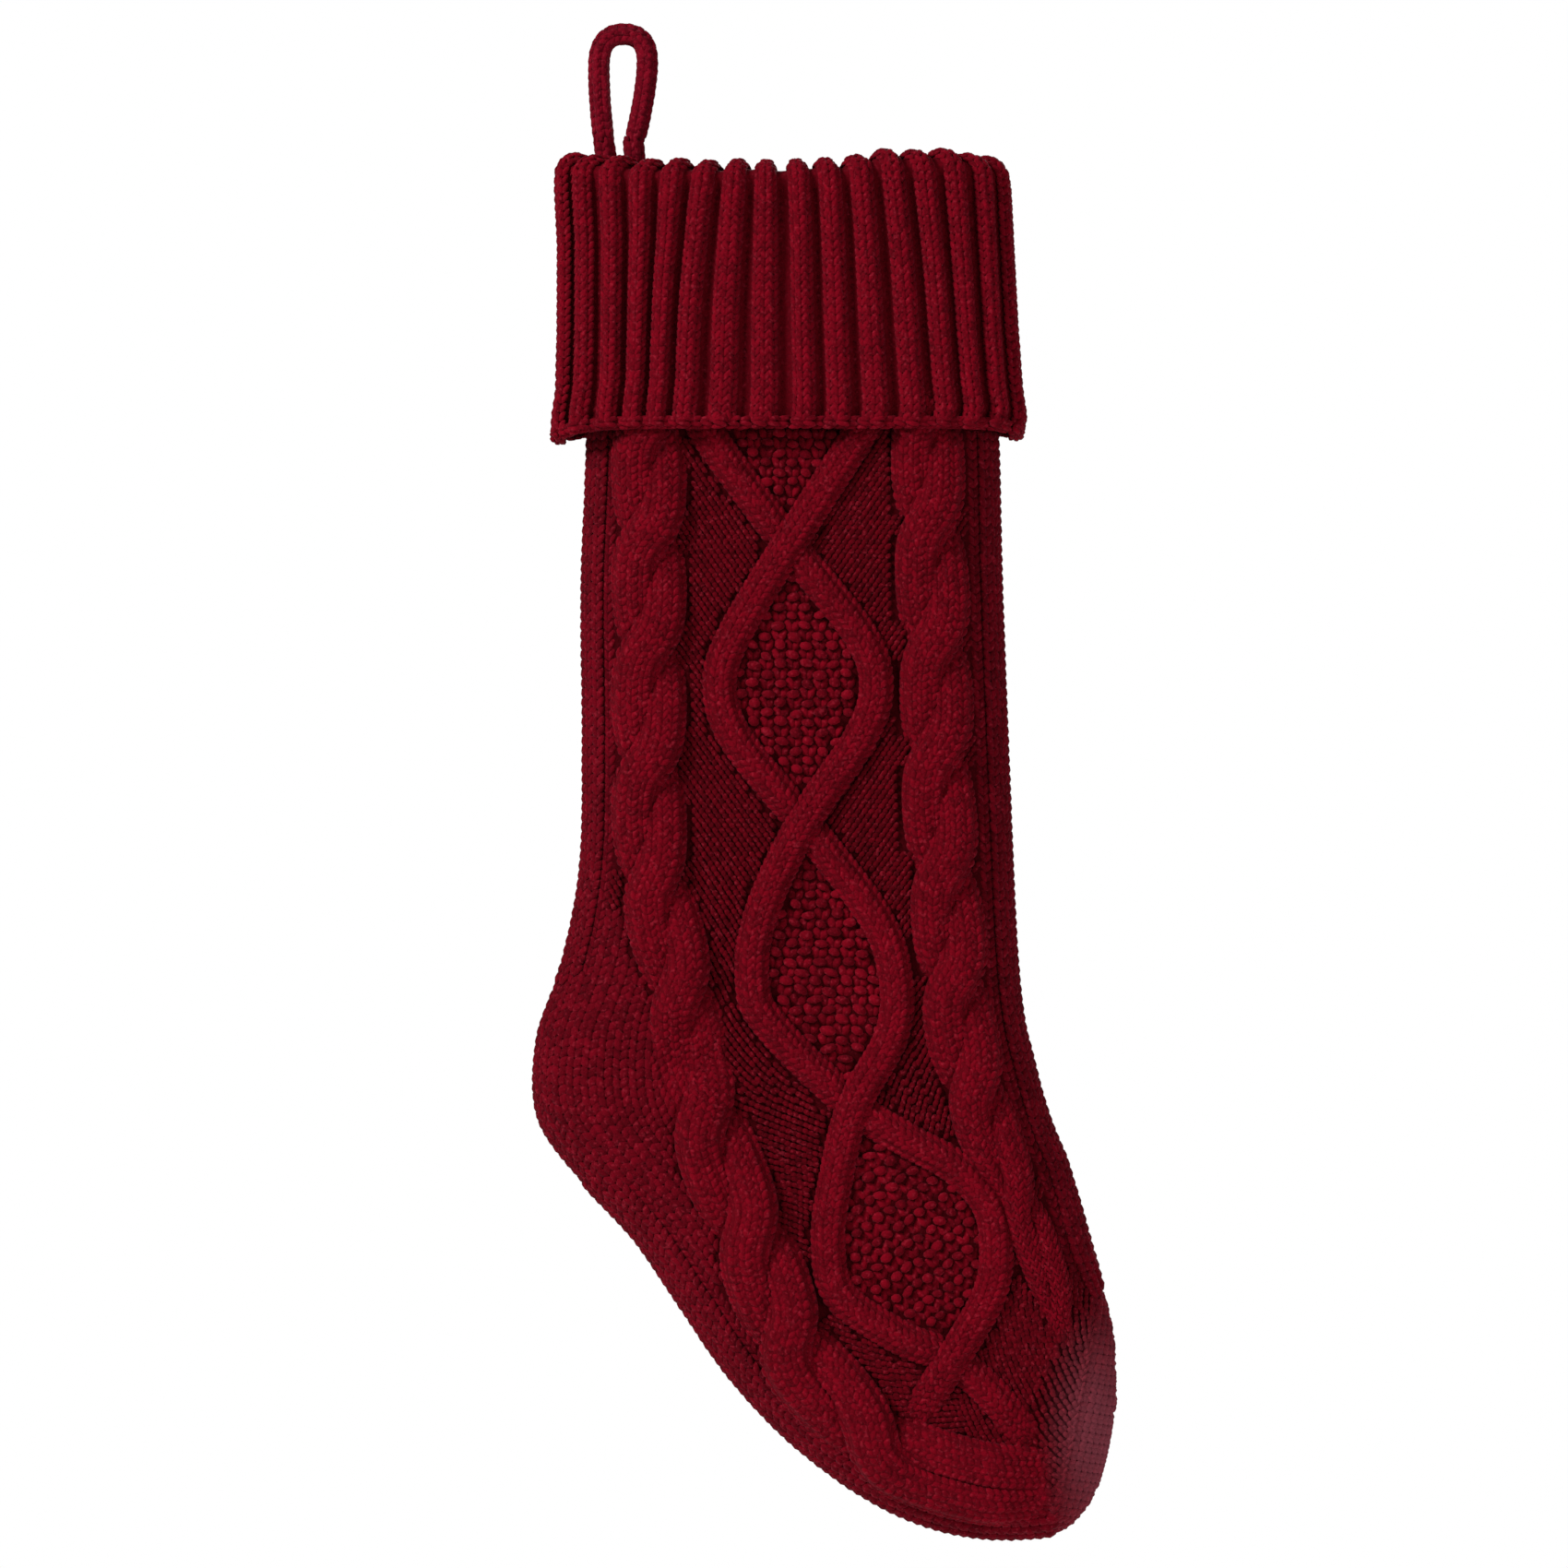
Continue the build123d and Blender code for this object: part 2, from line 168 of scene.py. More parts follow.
def fade(x, low, high):
    t = np.clip((x - low) / (high - low), 0, 1)
    return t * t * (3 - 2 * t)


# stitches: every leg of yarn is its own small plump shape
def modelYarnLeg():
    # one plump leg of a stitch, lying along Y
    selectOnly()
    bpy.ops.mesh.primitive_uv_sphere_add(segments=6, ring_count=4, radius=1.0)
    leg = bpy.context.object
    bpy.ops.object.mode_set(mode="EDIT")
    bpy.ops.transform.rotate(value=math.pi / 2, orient_axis="X", center_override=(0, 0, 0))
    bpy.ops.object.mode_set(mode="OBJECT")
    for v in leg.data.vertices:
        v.co.z -= 0.35 * v.co.y ** 2        # both ends dip into the cloth
        v.co.x += 0.12 * v.co.y ** 3
    points = np.array([v.co for v in leg.data.vertices])
    faces = [list(f.vertices) for f in leg.data.polygons]
    bpy.data.objects.remove(leg)
    centre = points.mean(0)
    a, b, c = (points[i] for i in faces[len(faces) // 2][:3])
    if np.dot(np.cross(b - a, c - a), a - centre) < 0:
        faces = [f[::-1] for f in faces]
    return points, faces


legPoints, legFaces = modelYarnLeg()


class YarnPile:
    # gathers legs of yarn for one piece
    def __init__(self):
        self.parts = []
        self.tones = []

    def add(self, centre, along, out, length, width, thick, across=None):
        n = len(centre)
        if n == 0:
            return
        if across is None:
            across = unit(np.cross(along, out))
        size = [np.broadcast_to(np.asarray(s, float), (n,)) / 2 for s in (width, length, thick)]
        wobble = 1 + yarn["uneven"] * dice.uniform(-1, 1, (n, 3))
        x = legPoints[None, :, 0:1] * (size[0] * wobble[:, 0])[:, None, None]
        y = legPoints[None, :, 1:2] * (size[1] * wobble[:, 1])[:, None, None]
        z = legPoints[None, :, 2:3] * (size[2] * wobble[:, 2])[:, None, None]
        self.parts.append(centre[:, None, :] + x * across[:, None, :]
                          + y * along[:, None, :] + z * out[:, None, :])
        self.tones.append(dice.uniform(0, 1, n))

    def knit(self, centre, along, out, width, height, sunk=None):
        # a V of two legs at every place
        across = unit(np.cross(along, out))
        width = np.broadcast_to(np.asarray(width, float), (len(centre),))
        sink = (yarn["sink"] if sunk is None else sunk) * width
        for side in (-1, 1):
            lean = side * yarn["lean"]
            way = along * math.cos(lean) - across * math.sin(lean)
            middle = centre + across * (side * width * 0.25)[:, None] - out * sink[:, None]
            self.add(middle, way, out, height * yarn["legLength"],
                     width * yarn["legWidth"], width * yarn["legThick"])

    def make(self, name):
        points = np.concatenate(self.parts)
        count, perLeg = points.shape[:2]
        faces = []
        for base in range(0, count * perLeg, perLeg):
            faces += [[base + v for v in f] for f in legFaces]
        print(name, count, "legs", sum(len(f) - 2 for f in legFaces) * count, "triangles")
        return newPiece(name, points, faces, np.repeat(np.concatenate(self.tones), perLeg))


def gridMesh(name, grid, closed=False):
    # a sheet from rows of points, each row the same length
    grid = np.asarray(grid)
    rows, cols = grid.shape[:2]
    faces = []
    for r in range(rows - 1):
        for c in range(cols if closed else cols - 1):
            d = (c + 1) % cols
            faces.append([r * cols + c, r * cols + d, (r + 1) * cols + d, (r + 1) * cols + c])
    return newPiece(name, grid, faces, np.full(rows * cols, 0.5))


# wool materials; places and sizes here are in metres
fuzz = {
    "patchScale": 38.0,      # slow drift of the dye
    "fibreScale": 1500.0,    # single fibres
    "fleckScale": 620.0,
    "glintScale": 820.0,      # painted highlights: fibres that catch the light
    "glintTint": (0.30, 0.018, 0.034, 1),
    "glintMost": 0.27,
    "toeSheenAt": (0.159, 0, -0.462),       # painted sheen: the yarn is painted pale and greyish about the toe
    "toeSheenReach": (0.021, 0.08, 0.046),
    "toeSheenTint": (0.155, 0.034, 0.048, 1),
    "toeSheenMost": 0.72,
    "relief": 0.0006,
}


def setInputs(node, values):
    for name, value in values.items():
        node.inputs[name].default_value = value


def woolGroup():
    group = bpy.data.node_groups.new("woolYarn", "ShaderNodeTree")
    face = group.interface
    for name, kind, value in (("Dark", "NodeSocketColor", (0.05, 0.001, 0.004, 1)),
                              ("Light", "NodeSocketColor", (0.2, 0.003, 0.01, 1)),
                              ("Variation", "NodeSocketFloat", 0.5),
                              ("Glints", "NodeSocketFloat", 1.0)):
        face.new_socket(name=name, in_out="INPUT", socket_type=kind).default_value = value
    face.new_socket(name="Color", in_out="OUTPUT", socket_type="NodeSocketColor")
    face.new_socket(name="Height", in_out="OUTPUT", socket_type="NodeSocketFloat")
    nodes, links = group.nodes, group.links
    take = nodes.new("NodeGroupInput")
    give = nodes.new("NodeGroupOutput")
    place = nodes.new("ShaderNodeTexCoord")
    tone = nodes.new("ShaderNodeAttribute")
    tone.attribute_name = "tone"

    def noise(scale, detail, rough):
        n = nodes.new("ShaderNodeTexNoise")
        setInputs(n, {"Scale": scale, "Detail": detail, "Roughness": rough})
        links.new(place.outputs["Object"], n.inputs["Vector"])
        return n.outputs["Fac"]

    def feed(socket, value):
        if isinstance(value, (int, float, tuple)):
            socket.default_value = value
        else:
            links.new(value, socket)

    def math2(kind, a, b):
        m = nodes.new("ShaderNodeMath")
        m.operation = kind
        feed(m.inputs[0], a)
        feed(m.inputs[1], b)
        return m.outputs[0]

    def around(value, strength):
        # a value from 0 to 1 made to swing about zero
        return math2("MULTIPLY", math2("SUBTRACT", value, 0.5), strength)

    def smoothStep(value, low, high, most):
        n = nodes.new("ShaderNodeMapRange")
        n.interpolation_type = "SMOOTHSTEP"
        setInputs(n, {"From Min": low, "From Max": high, "To Max": most})
        links.new(value, n.inputs["Value"])
        return n.outputs["Result"]

    def mixed(share, first, second):
        n = nodes.new("ShaderNodeMix")
        n.data_type = "RGBA"
        links.new(share, n.inputs["Factor"])
        feed(n.inputs["A"], first)
        feed(n.inputs["B"], second)
        return n.outputs["Result"]

    fibres = noise(fuzz["fibreScale"], 4.0, 0.7)
    flecksAndGlints = noise(fuzz["fleckScale"], 2.0, 0.5)
    stitch = around(tone.outputs["Fac"], take.outputs["Variation"])
    drift = around(noise(fuzz["patchScale"], 3.0, 0.55), 0.35)
    fine = math2("ADD", around(fibres, 1.3), around(flecksAndGlints, 0.8))
    total = math2("ADD", math2("ADD", stitch, drift), fine)
    amount = nodes.new("ShaderNodeClamp")
    links.new(math2("ADD", total, 0.5), amount.inputs["Value"])
    yarnTint = mixed(amount.outputs[0], take.outputs["Dark"], take.outputs["Light"])
    # painted highlights: specks of a lighter red where fibres would catch the light
    spots = smoothStep(noise(fuzz["glintScale"], 1.0, 0.5), 0.57, 0.72, fuzz["glintMost"])
    glinted = mixed(math2("MULTIPLY", spots, take.outputs["Glints"]), yarnTint, fuzz["glintTint"])

    # the painted sheen about the toe fades out all round
    shift = nodes.new("ShaderNodeMapping")
    shift.vector_type = "TEXTURE"
    setInputs(shift, {"Location": fuzz["toeSheenAt"], "Scale": fuzz["toeSheenReach"]})
    links.new(place.outputs["Object"], shift.inputs["Vector"])
    far = nodes.new("ShaderNodeVectorMath")
    far.operation = "LENGTH"
    links.new(shift.outputs["Vector"], far.inputs[0])
    near = smoothStep(far.outputs["Value"], 1.05, 0.1, fuzz["toeSheenMost"])
    links.new(mixed(near, glinted, fuzz["toeSheenTint"]), give.inputs["Color"])
    links.new(math2("ADD", fibres, math2("MULTIPLY", flecksAndGlints, 0.7)), give.inputs["Height"])
    return group


woolYarn = woolGroup()


def woolMaterial(name, tint, variation=0.5, sheen=0.04, flecksAndGlints=1.0):
    # the last argument sets how many fibre specks are painted as highlights
    mat = bpy.data.materials.new(name)
    mat.use_nodes = True
    nodes, links = mat.node_tree.nodes, mat.node_tree.links
    skin = nodes["Principled BSDF"]
    setInputs(skin, {"Roughness": 0.92, "Specular IOR Level": 0.03, "Sheen Weight": sheen,
                     "Sheen Roughness": 0.45, "Sheen Tint": (1.0, 0.25, 0.35, 1)})
    wool = nodes.new("ShaderNodeGroup")
    wool.node_tree = woolYarn
    dark, light = tints[tint]
    setInputs(wool, {"Dark": (*dark, 1), "Light": (*light, 1),
                     "Variation": variation, "Glints": flecksAndGlints})
    relief = nodes.new("ShaderNodeBump")
    setInputs(relief, {"Strength": 0.4, "Distance": fuzz["relief"]})
    links.new(wool.outputs["Color"], skin.inputs["Base Color"])
    links.new(wool.outputs["Height"], relief.inputs["Height"])
    links.new(relief.outputs["Normal"], skin.inputs["Normal"])
    return mat


tints = {                    # dark and light end of each wool
    "cable": ((0.051, 0.0004, 0.0025), (0.158, 0.0009, 0.0067)),
    # the ground wool is darker than the cable wool: painted shade for purl lying low between the
    # ropes and in the cuff's rib gutters
    "ground": ((0.032, 0.0002, 0.0015), (0.102, 0.0006, 0.0043)),
    "rib": ((0.054, 0.0005, 0.0028), (0.168, 0.0010, 0.0074)),
    "plain": ((0.042, 0.0004, 0.0022), (0.127, 0.0009, 0.0060)),
    # the deep wool is near black: painted shade for the cloth seen only in the gaps between
    # stitches
    "deep": ((0.017, 0.0001, 0.0008), (0.050, 0.0003, 0.0022)),
    # the core wool is darker than the cable wool: painted shade for sheets seen only between
    # stitches
    "core": ((0.038, 0.0003, 0.0019), (0.114, 0.0007, 0.0049)),
    # the toe wool is paler and greyer than the plain wool: painted sheen on the toe
    "toe": ((0.044, 0.0010, 0.0031), (0.132, 0.0029, 0.0086)),
    "loop": ((0.055, 0.0007, 0.0039), (0.166, 0.0020, 0.0098)),
}
cableWool = woolMaterial("cableWool", "cable")
shadedGroundWool = woolMaterial("shadedGroundWool", "ground")
ribWool = woolMaterial("ribWool", "rib")
plainWool = woolMaterial("plainWool", "plain")
seedWool = woolMaterial("seedWool", "cable", variation=0.6)
shadedCoreWool = woolMaterial("shadedCoreWool", "core", flecksAndGlints=0.4)
shadedClothWool = woolMaterial("shadedClothWool", "deep", sheen=0.0, flecksAndGlints=0.2)
toeSheenWool = woolMaterial("toeSheenWool", "toe", sheen=0.12)
loopWool = woolMaterial("loopWool", "loop", sheen=0.08)
sewingWool = woolMaterial("sewingWool", "rib", variation=0.8)


def finish(obj, material, body="stocking", stands=()):
    obj.data.materials.clear()
    obj.data.materials.append(material)
    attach(obj, body)
    if stands:
        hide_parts(*stands)
    return obj


# camera, light, floor
shot = {"distance": 2.6, "frame": 0.5207, "centreX": 0.0539, "centreZ": -0.246, "sensor": 36}
camData = bpy.data.cameras.new("camera")
camera = bpy.data.objects.new("camera", camData)
scene.collection.objects.link(camera)
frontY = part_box("front_cable_a")[0].y
camera.location = (shot["centreX"], frontY - shot["distance"], shot["centreZ"])
camera.rotation_euler = (math.pi / 2, 0, 0)
camData.sensor_width = shot["sensor"]
camData.lens = shot["sensor"] * shot["distance"] / shot["frame"]
camData.clip_end = 50
scene.camera = camera


def softLight(name, place, size, power):
    data = bpy.data.lights.new(name, "AREA")
    data.shape = "DISK"
    data.size = size
    data.energy = power
    lamp = bpy.data.objects.new(name, data)
    scene.collection.objects.link(lamp)
    lamp.location = place
    lamp.rotation_euler = (middle - Vector(place)).to_track_quat("-Z", "Y").to_euler()


middle = Vector((0.06, 0.0, -0.26))       # what the lights are aimed at
softLight("keyLight", (-1.75, -1.35, 1.05), 0.7, 84)
softLight("fillLight", (1.5, -1.8, 0.1), 1.4, 19)
softLight("backLight", (0.6, 2.0, 0.7), 1.2, 55)

world = bpy.data.worlds.new("studio")
scene.world = world
world.use_nodes = True
nodes, links = world.node_tree.nodes, world.node_tree.links
nodes.clear()
glow = nodes.new("ShaderNodeBackground")
glow.inputs["Color"].default_value = (1, 1, 1, 1)
ray = nodes.new("ShaderNodeLightPath")
level = nodes.new("ShaderNodeMapRange")
setInputs(level, {"To Min": 0.26, "To Max": 1.0})     # dimmer as light than as backdrop
links.new(ray.outputs["Is Camera Ray"], level.inputs["Value"])
links.new(level.outputs["Result"], glow.inputs["Strength"])
links.new(glow.outputs["Background"], nodes.new("ShaderNodeOutputWorld").inputs["Surface"])
scene.view_settings.view_transform = "Standard"

selectOnly()
bpy.ops.mesh.primitive_circle_add(vertices=96, radius=1.0, fill_type="NGON",
                                  location=(middle.x, 0, cadLow.z - 0.12))
floor = bpy.context.object
floor.name = "paleFloor"
paint = bpy.data.materials.new("floorPaint")
paint.use_nodes = True
setInputs(paint.node_tree.nodes["Principled BSDF"],
          {"Base Color": (0.86, 0.86, 0.85, 1), "Roughness": 0.8})
floor.data.materials.append(paint)
print("camera, lights and floor set")

# hanging loop
loop = {
    "route": [(-6.665, -28.277), (-8.2, -15), (-7.9, 5.0), (8.0, 5.0), (8.3, -12),
              (4.514, -28.354)],
    "radius": 3.75,
    "wales": 6,
    "row": 2.6,
    "coreSunk": 0.85,        # the core below the yarn's outer face
    "step": 0.8,
    "tails": {
        "back": [(-6.2, 0, -32.3), (-4.75, 1.5, -43.3), (-3.3, 4, -54.3), (-3.3, 4.3, -72.3)],
        "front": [(3.6, 0, -32.3), (4.5, 1.5, -43.3), (5.4, 4, -54.3), (5.4, 4.3, -72.3)],
    },
}
route = bpy.data.curves.new("loopRoute", "CURVE")
route.dimensions = "3D"
spline = route.splines.new("NURBS")
spline.points.add(len(loop["route"]) - 1)
for point, (x, z) in zip(spline.points, loop["route"]):
    point.co = (x * mm, 0, z * mm, 1)
spline.order_u = 3
spline.use_endpoint_u = True
spline.resolution_u = 16
routeObj = bpy.data.objects.new("loopRoute", route)
scene.collection.objects.link(routeObj)
bpy.context.view_layer.update()
routeMesh = bpy.data.meshes.new_from_object(routeObj)
loopLine = np.array([v.co for v in routeMesh.vertices]) / mm
bpy.data.objects.remove(routeObj)
print("loop line", len(loopLine), "points", round(lengthAlong(loopLine)[-1], 1), "mm")


def cordKnit(name, line, domes=(4.0, 4.0)):
    # a round knitted cord: a plain core with columns of stitches about it
    radius, wales, row, step = loop["radius"], loop["wales"], loop["row"], loop["step"]
    line = evenly(line, step)
    start = line[0] - unit(line[1] - line[0]) * domes[0]
    end = line[-1] + unit(line[-1] - line[-2]) * domes[1]
    full = evenly(np.vstack([start, line, end]), step)
    along = lengthAlong(full)
    total = along[-1]

    def section(s):
        p = atLength(full, along, s)
        ahead = atLength(full, along, np.minimum(s + step / 2, total))
        back = atLength(full, along, np.maximum(s - step / 2, 0))
        way = unit(ahead - back)
        first = np.tile([0.0, 1.0, 0.0], (len(s), 1))
        second = unit(np.cross(way, first))
        first = unit(np.cross(second, way))
        nearEnd = np.minimum(s / domes[0], (total - s) / domes[1])
        grow = np.sqrt(np.clip(1 - (1 - np.clip(nearEnd, 0.02, 1)) ** 2, 0, 1))
        return p, way, first, second, grow

    core = radius - loop["coreSunk"]
    s = np.linspace(0, total, int(total / 1.2))
    p, way, first, second, grow = section(s)
    turn = np.linspace(0, 2 * math.pi, 15)[:-1]
    ring = (np.cos(turn)[None, :, None] * first[:, None, :]
            + np.sin(turn)[None, :, None] * second[:, None, :])
    grid = p[:, None, :] + ring * (core * grow)[:, None, None]
    tube = gridMesh(name, grid, closed=True)
    cleanMesh(tube, fillEnds=True)
    pile = YarnPile()
    for k in range(wales):
        angle = 2 * math.pi * (k + 0.25) / wales
        s = np.arange(step + row * ((k * 0.37) % 1), total - step, row)
        p, way, first, second, grow = section(s)
        out = math.cos(angle) * first + math.sin(angle) * second
        pile.knit(p + out * ((core + 0.35) * grow)[:, None], way, out,
                  2 * math.pi * radius / wales * 0.98 * grow, row)
    return joinInto(tube, pile.make(name + "Yarn"))


hangingLoop = cordKnit("hangingLoop", loopLine)
finish(hangingLoop, loopWool, body="loop", stands=["hanging_loop"])
for side, places in loop["tails"].items():
    tail = cordKnit("loopTail" + side.capitalize(), smoothLine(places, 10), domes=(3.7, 0.6))
    finish(tail, loopWool, stands=["loop_tail_" + side])
print("loop made")

# leg and foot
leg = {
    "depth": 15.6,           # middle of the cloth from the middle plane
    "roll": 26.0,            # how far in from the edge the rounding reaches
    "wales": 35,             # columns on each face
    "edgeWales": 3,          # plain columns at both edges of the front
    "swell": 0.8,            # slow unevenness of the cloth
    "settleFrom": -52,       # above this height the mouth is pushed down, inside the cuff
    "settle": 0.55,
    "hidden": -118,          # above this height the cuff hides the knitting
    "narrowWale": 3.1,       # columns narrower than this run two together
    "toeWale": 3.3,
    "toeRow": 16 * 12,       # the toe cap starts at this row
    "soleRow": 112,          # the sole's edge band starts here, one column wider
    "heel": (-5.0, -344.3),  # middle of the heel's plain knitting
    "heelReach": 36,
    # ends of rows of knitting, mouth to toe: back edge x, z and instep edge x, z
    "rows": [
        (-15.0, -36, 120.5, -36), (-13.2, -80, 123, -80), (-11.8, -128, 125.3, -128),
        (-13.6, -180, 126.6, -180), (-13.2, -230, 128.5, -230), (-14.0, -272, 130.2, -272),
        (-19.8, -304, 131.7, -302), (-29.0, -331, 133.8, -323), (-28.6, -358, 137.2, -338),
        (-13.6, -379.4, 140.9, -352), (3.8, -398.4, 144.5, -362.3), (18.8, -420.3, 148.2, -371),
        (36.2, -445.2, 151.2, -380.7), (58.8, -468.5, 153.9, -390), (87.2, -488.1, 156.3, -399),
        (115, -497.4, 158.5, -406.5), (143, -497.3, 160.2, -413), (154.8, -489.4, 162.8, -421.5),
        (161.6, -473.8, 164.9, -433), (165.6, -452, 165.6, -452),
    ],
}
rowEnds = smoothLine(leg["rows"], 12)
backLine, instepLine = rowEnds[:, :2], rowEnds[:, 2:]
outline = np.vstack([backLine, instepLine[-2::-1]])
apart = np.linalg.norm(np.diff(outline, axis=0), axis=1) > 0.05
outline = outline[np.concatenate([[True], apart])]
segStart, segEnd = outline[:-1], outline[1:]
segRun = segEnd - segStart
segIn = unit(np.stack([-segRun[:, 1], segRun[:, 0]], 1))     # towards the inside
batch = 1500                 # places worked out together, to spare memory


def toOutline(p):
    # distance from the outline and the direction inwards from it
    gap, inward = np.zeros(len(p)), np.zeros((len(p), 2))
    for first in range(0, len(p), batch):
        q = p[first:first + batch]
        t = ((q[:, None, :] - segStart) * segRun).sum(-1) / (segRun ** 2).sum(-1)
        foot = segStart + np.clip(t, 0, 1)[..., None] * segRun
        away = q[:, None, :] - foot
        far = np.linalg.norm(away, axis=-1)
        best = far.argmin(1)
        nearest = far.min(1)
        away = away[np.arange(len(q)), best]
        side = segIn[best]
        straight = away / np.maximum(nearest, 1e-6)[:, None]
        inward[first:first + batch] = np.where((nearest > 0.25)[:, None], straight, side)
        gap[first:first + batch] = np.where((away * side).sum(1) < 0, 0, nearest)
    return gap, inward


def pillow(p, face):
    # place and outward normal on the rounded cloth; face is -1 for the front, 1 for the back
    gap, inward = toOutline(p)
    turn = np.arccos(1 - np.minimum(gap, leg["roll"]) / leg["roll"])
    x, z = p[:, 0], p[:, 1]
    swell = leg["swell"] * np.sin(x * 0.055 + z * 0.021) * np.sin(z * 0.043 + 1.3)
    height = (leg["depth"] + swell) * np.sin(turn)
    inward = np.stack([inward[:, 0], 0 * turn, inward[:, 1]], 1)
    out = (-leg["depth"] * np.cos(turn))[:, None] * inward
    out[:, 1] += face * leg["roll"] * np.sin(turn)
    settled = z - leg["settle"] * np.maximum(0, z - leg["settleFrom"])
    return np.stack([x, face * height, settled], 1), unit(out)


# across a row, places are counted along the cloth, so that columns keep their width on the roll
turns = np.linspace(0, math.pi / 2, 200)
rollArc = np.concatenate([[0], np.cumsum(np.hypot(
    leg["roll"] * np.diff(1 - np.cos(turns)), leg["depth"] * np.diff(np.sin(turns))))])
rollIn = leg["roll"] * (1 - np.cos(turns))
rowSpan = np.linalg.norm(instepLine - backLine, axis=1)
rowRoll = np.minimum(leg["roll"], rowSpan * 0.49)
rowArc = np.interp(rowRoll, rollIn, rollArc)
rowWidth = rowSpan - 2 * rowRoll + 2 * rowArc
rowWay = unit(instepLine - backLine + 1e-6)
backWay = unit(np.gradient(backLine, axis=0))
instepWay = unit(np.gradient(instepLine, axis=0))
backIn = np.stack([-backWay[:, 1], backWay[:, 0]], 1)
instepIn = np.stack([instepWay[:, 1], -instepWay[:, 0]], 1)
toeRow = leg["toeRow"]
# rows follow the bent edges, but are straight near the toe
nearToe = fade(np.arange(len(rowSpan)), toeRow - 30, toeRow - 4)[:, None]


def acrossRows(place):
    # the line down the cloth at that distance from the back edge, along every row
    fromBack = np.interp(np.minimum(place, rowArc), rollArc, rollIn)
    fromInstep = np.interp(np.minimum(rowWidth - place, rowArc), rollArc, rollIn)
    mixB = (fromBack / leg["roll"])[:, None]
    mixI = (fromInstep / leg["roll"])[:, None]
    low = backLine + unit(backIn * (1 - mixB) + rowWay * mixB) * fromBack[:, None]
    high = instepLine + unit(instepIn * (1 - mixI) - rowWay * mixI) * fromInstep[:, None]
    flat = np.maximum(rowWidth - 2 * rowArc, 1e-6)
    t = np.clip((place - rowArc) / flat, 0, 1)
    bent = low * (1 - t[:, None]) + high * t[:, None]
    straight = backLine + rowWay * (fromBack + t * (rowSpan - fromBack - fromInstep))[:, None]
    return bent * (1 - nearToe) + straight * nearToe


edgeWidth = leg["edgeWales"] * yarn["waleWidth"]
innerWidth = (rowWidth - 2 * edgeWidth) / (leg["wales"] - 2 * leg["edgeWales"])


def waleLine(wale):
    # a column of stitches and its width on every row; the edge columns keep their width
    last = leg["wales"] - 1 - wale
    if wale < leg["edgeWales"]:
        place = np.full(len(rowWidth), (wale + 0.5) * yarn["waleWidth"])
    elif last < leg["edgeWales"]:
        place = rowWidth - (last + 0.5) * yarn["waleWidth"]
    else:
        place = edgeWidth + (wale - leg["edgeWales"] + 0.5) * innerWidth
        return acrossRows(place), innerWidth
    return acrossRows(place), np.full(len(rowWidth), yarn["waleWidth"])


def clothSheet():
    shares = 0.5 - 0.5 * np.cos(np.linspace(0, math.pi, 49))
    rows = slice(0, None, 2)
    lines = [acrossRows(s * rowWidth)[rows] for s in shares]
    faces = []
    for face in (-1, 1):
        grid = []
        for line in lines:
            place, out = pillow(line, face)
            grid.append(place - out * 0.7)
        faces.append(np.array(grid))
    ends = [0.5 * (faces[0][k] + faces[1][k]) for k in (0, -1)]
    for f in faces:
        f[0], f[-1] = ends
    cloth = joinInto(gridMesh("legCloth", faces[0]), gridMesh("legClothBack", faces[1]))
    cleanMesh(cloth, mergeWithin=0.3)
    return cloth


legCloth = clothSheet()
print("leg cloth area", round(sum(f.area for f in legCloth.data.polygons), 4))

# cables and lattice on the front; half is half a strand's width, swing how far it sways
ropes = {
    "back": {
        "node": "back_cable_",
        "line": [(9, -118), (9, -163), (9, -239), (9.6, -270), (14, -292), (20.5, -318),
                 (23.6, -345)],
        "crossings": [-163.3, -200, -239.5, -278, -314], "half": 7.9, "swing": 4.8, "rise": 4.9,
    },
    "instep": {
        "node": "front_cable_",
        "line": [(101.7, -118), (101.9, -150), (104.3, -205), (105, -245), (107, -275),
                 (109.8, -305), (114.3, -336), (121.8, -361), (129.5, -380), (136.5, -396),
                 (142.6, -413.5), (148.3, -433)],
        "crossings": [-158.7, -198.5, -235.2, -274.4, -311, -346, -384],
        "half": 7.7, "swing": 4.7, "rise": 4.9,
        "slim": (330, 420, 0.45),        # narrows between these depths, by this much
    },
    "foot": {
        "node": "foot_cable_",
        "line": [(20.5, -334), (26.6, -353.5), (35.5, -378), (43.5, -397), (50.5, -417),
                 (57, -433.5), (69, -448.5), (81.5, -462.2), (97, -471.8), (120, -478.7),
                 (143, -481)],
        "crossings": [-356, -394.5, -430, -464], "half": 8.6, "swing": 5.6, "rise": 5.8,
        "lastTurn": 0.5,
    },
}
bands = {
    "a": {
        "line": [(24, -118), (29.1, -130.5), (55.4, -166.3), (79, -196), (84.6, -213.5),
                 (79, -231), (60.3, -258.8), (46, -290), (43.4, -313), (50, -327),
                 (77.0, -353.2), (95, -364.5), (111, -373.5), (122, -386), (124.5, -400),
                 (122.5, -415), (112, -434), (96, -459)],
        "over": [(60.3, -258.8), (109, -437)], "under": [(55.4, -166.3), (77.0, -353.2)],
    },
    "b": {
        "line": [(84, -118), (77.5, -131.7), (55.4, -166.3), (37, -197), (32.4, -213.5),
                 (38, -231), (60.3, -258.8), (84, -290), (91.0, -310.6), (89.5, -330),
                 (77.0, -353.2), (71, -378), (68.5, -398), (72.5, -416), (92, -429.8),
                 (109, -437), (124, -450), (136, -466)],
        "over": [(55.4, -166.3), (77.0, -353.2)], "under": [(60.3, -258.8), (109, -437)],
    },
}
band = {"half": 5.8, "rise": 4.4, "lift": 1.5, "liftReach": 8.5}
hump = 0.42                  # smaller is a squarer swing from side to side
ropeLift = 0.48              # how far strands pass over and under, as a share of their rise


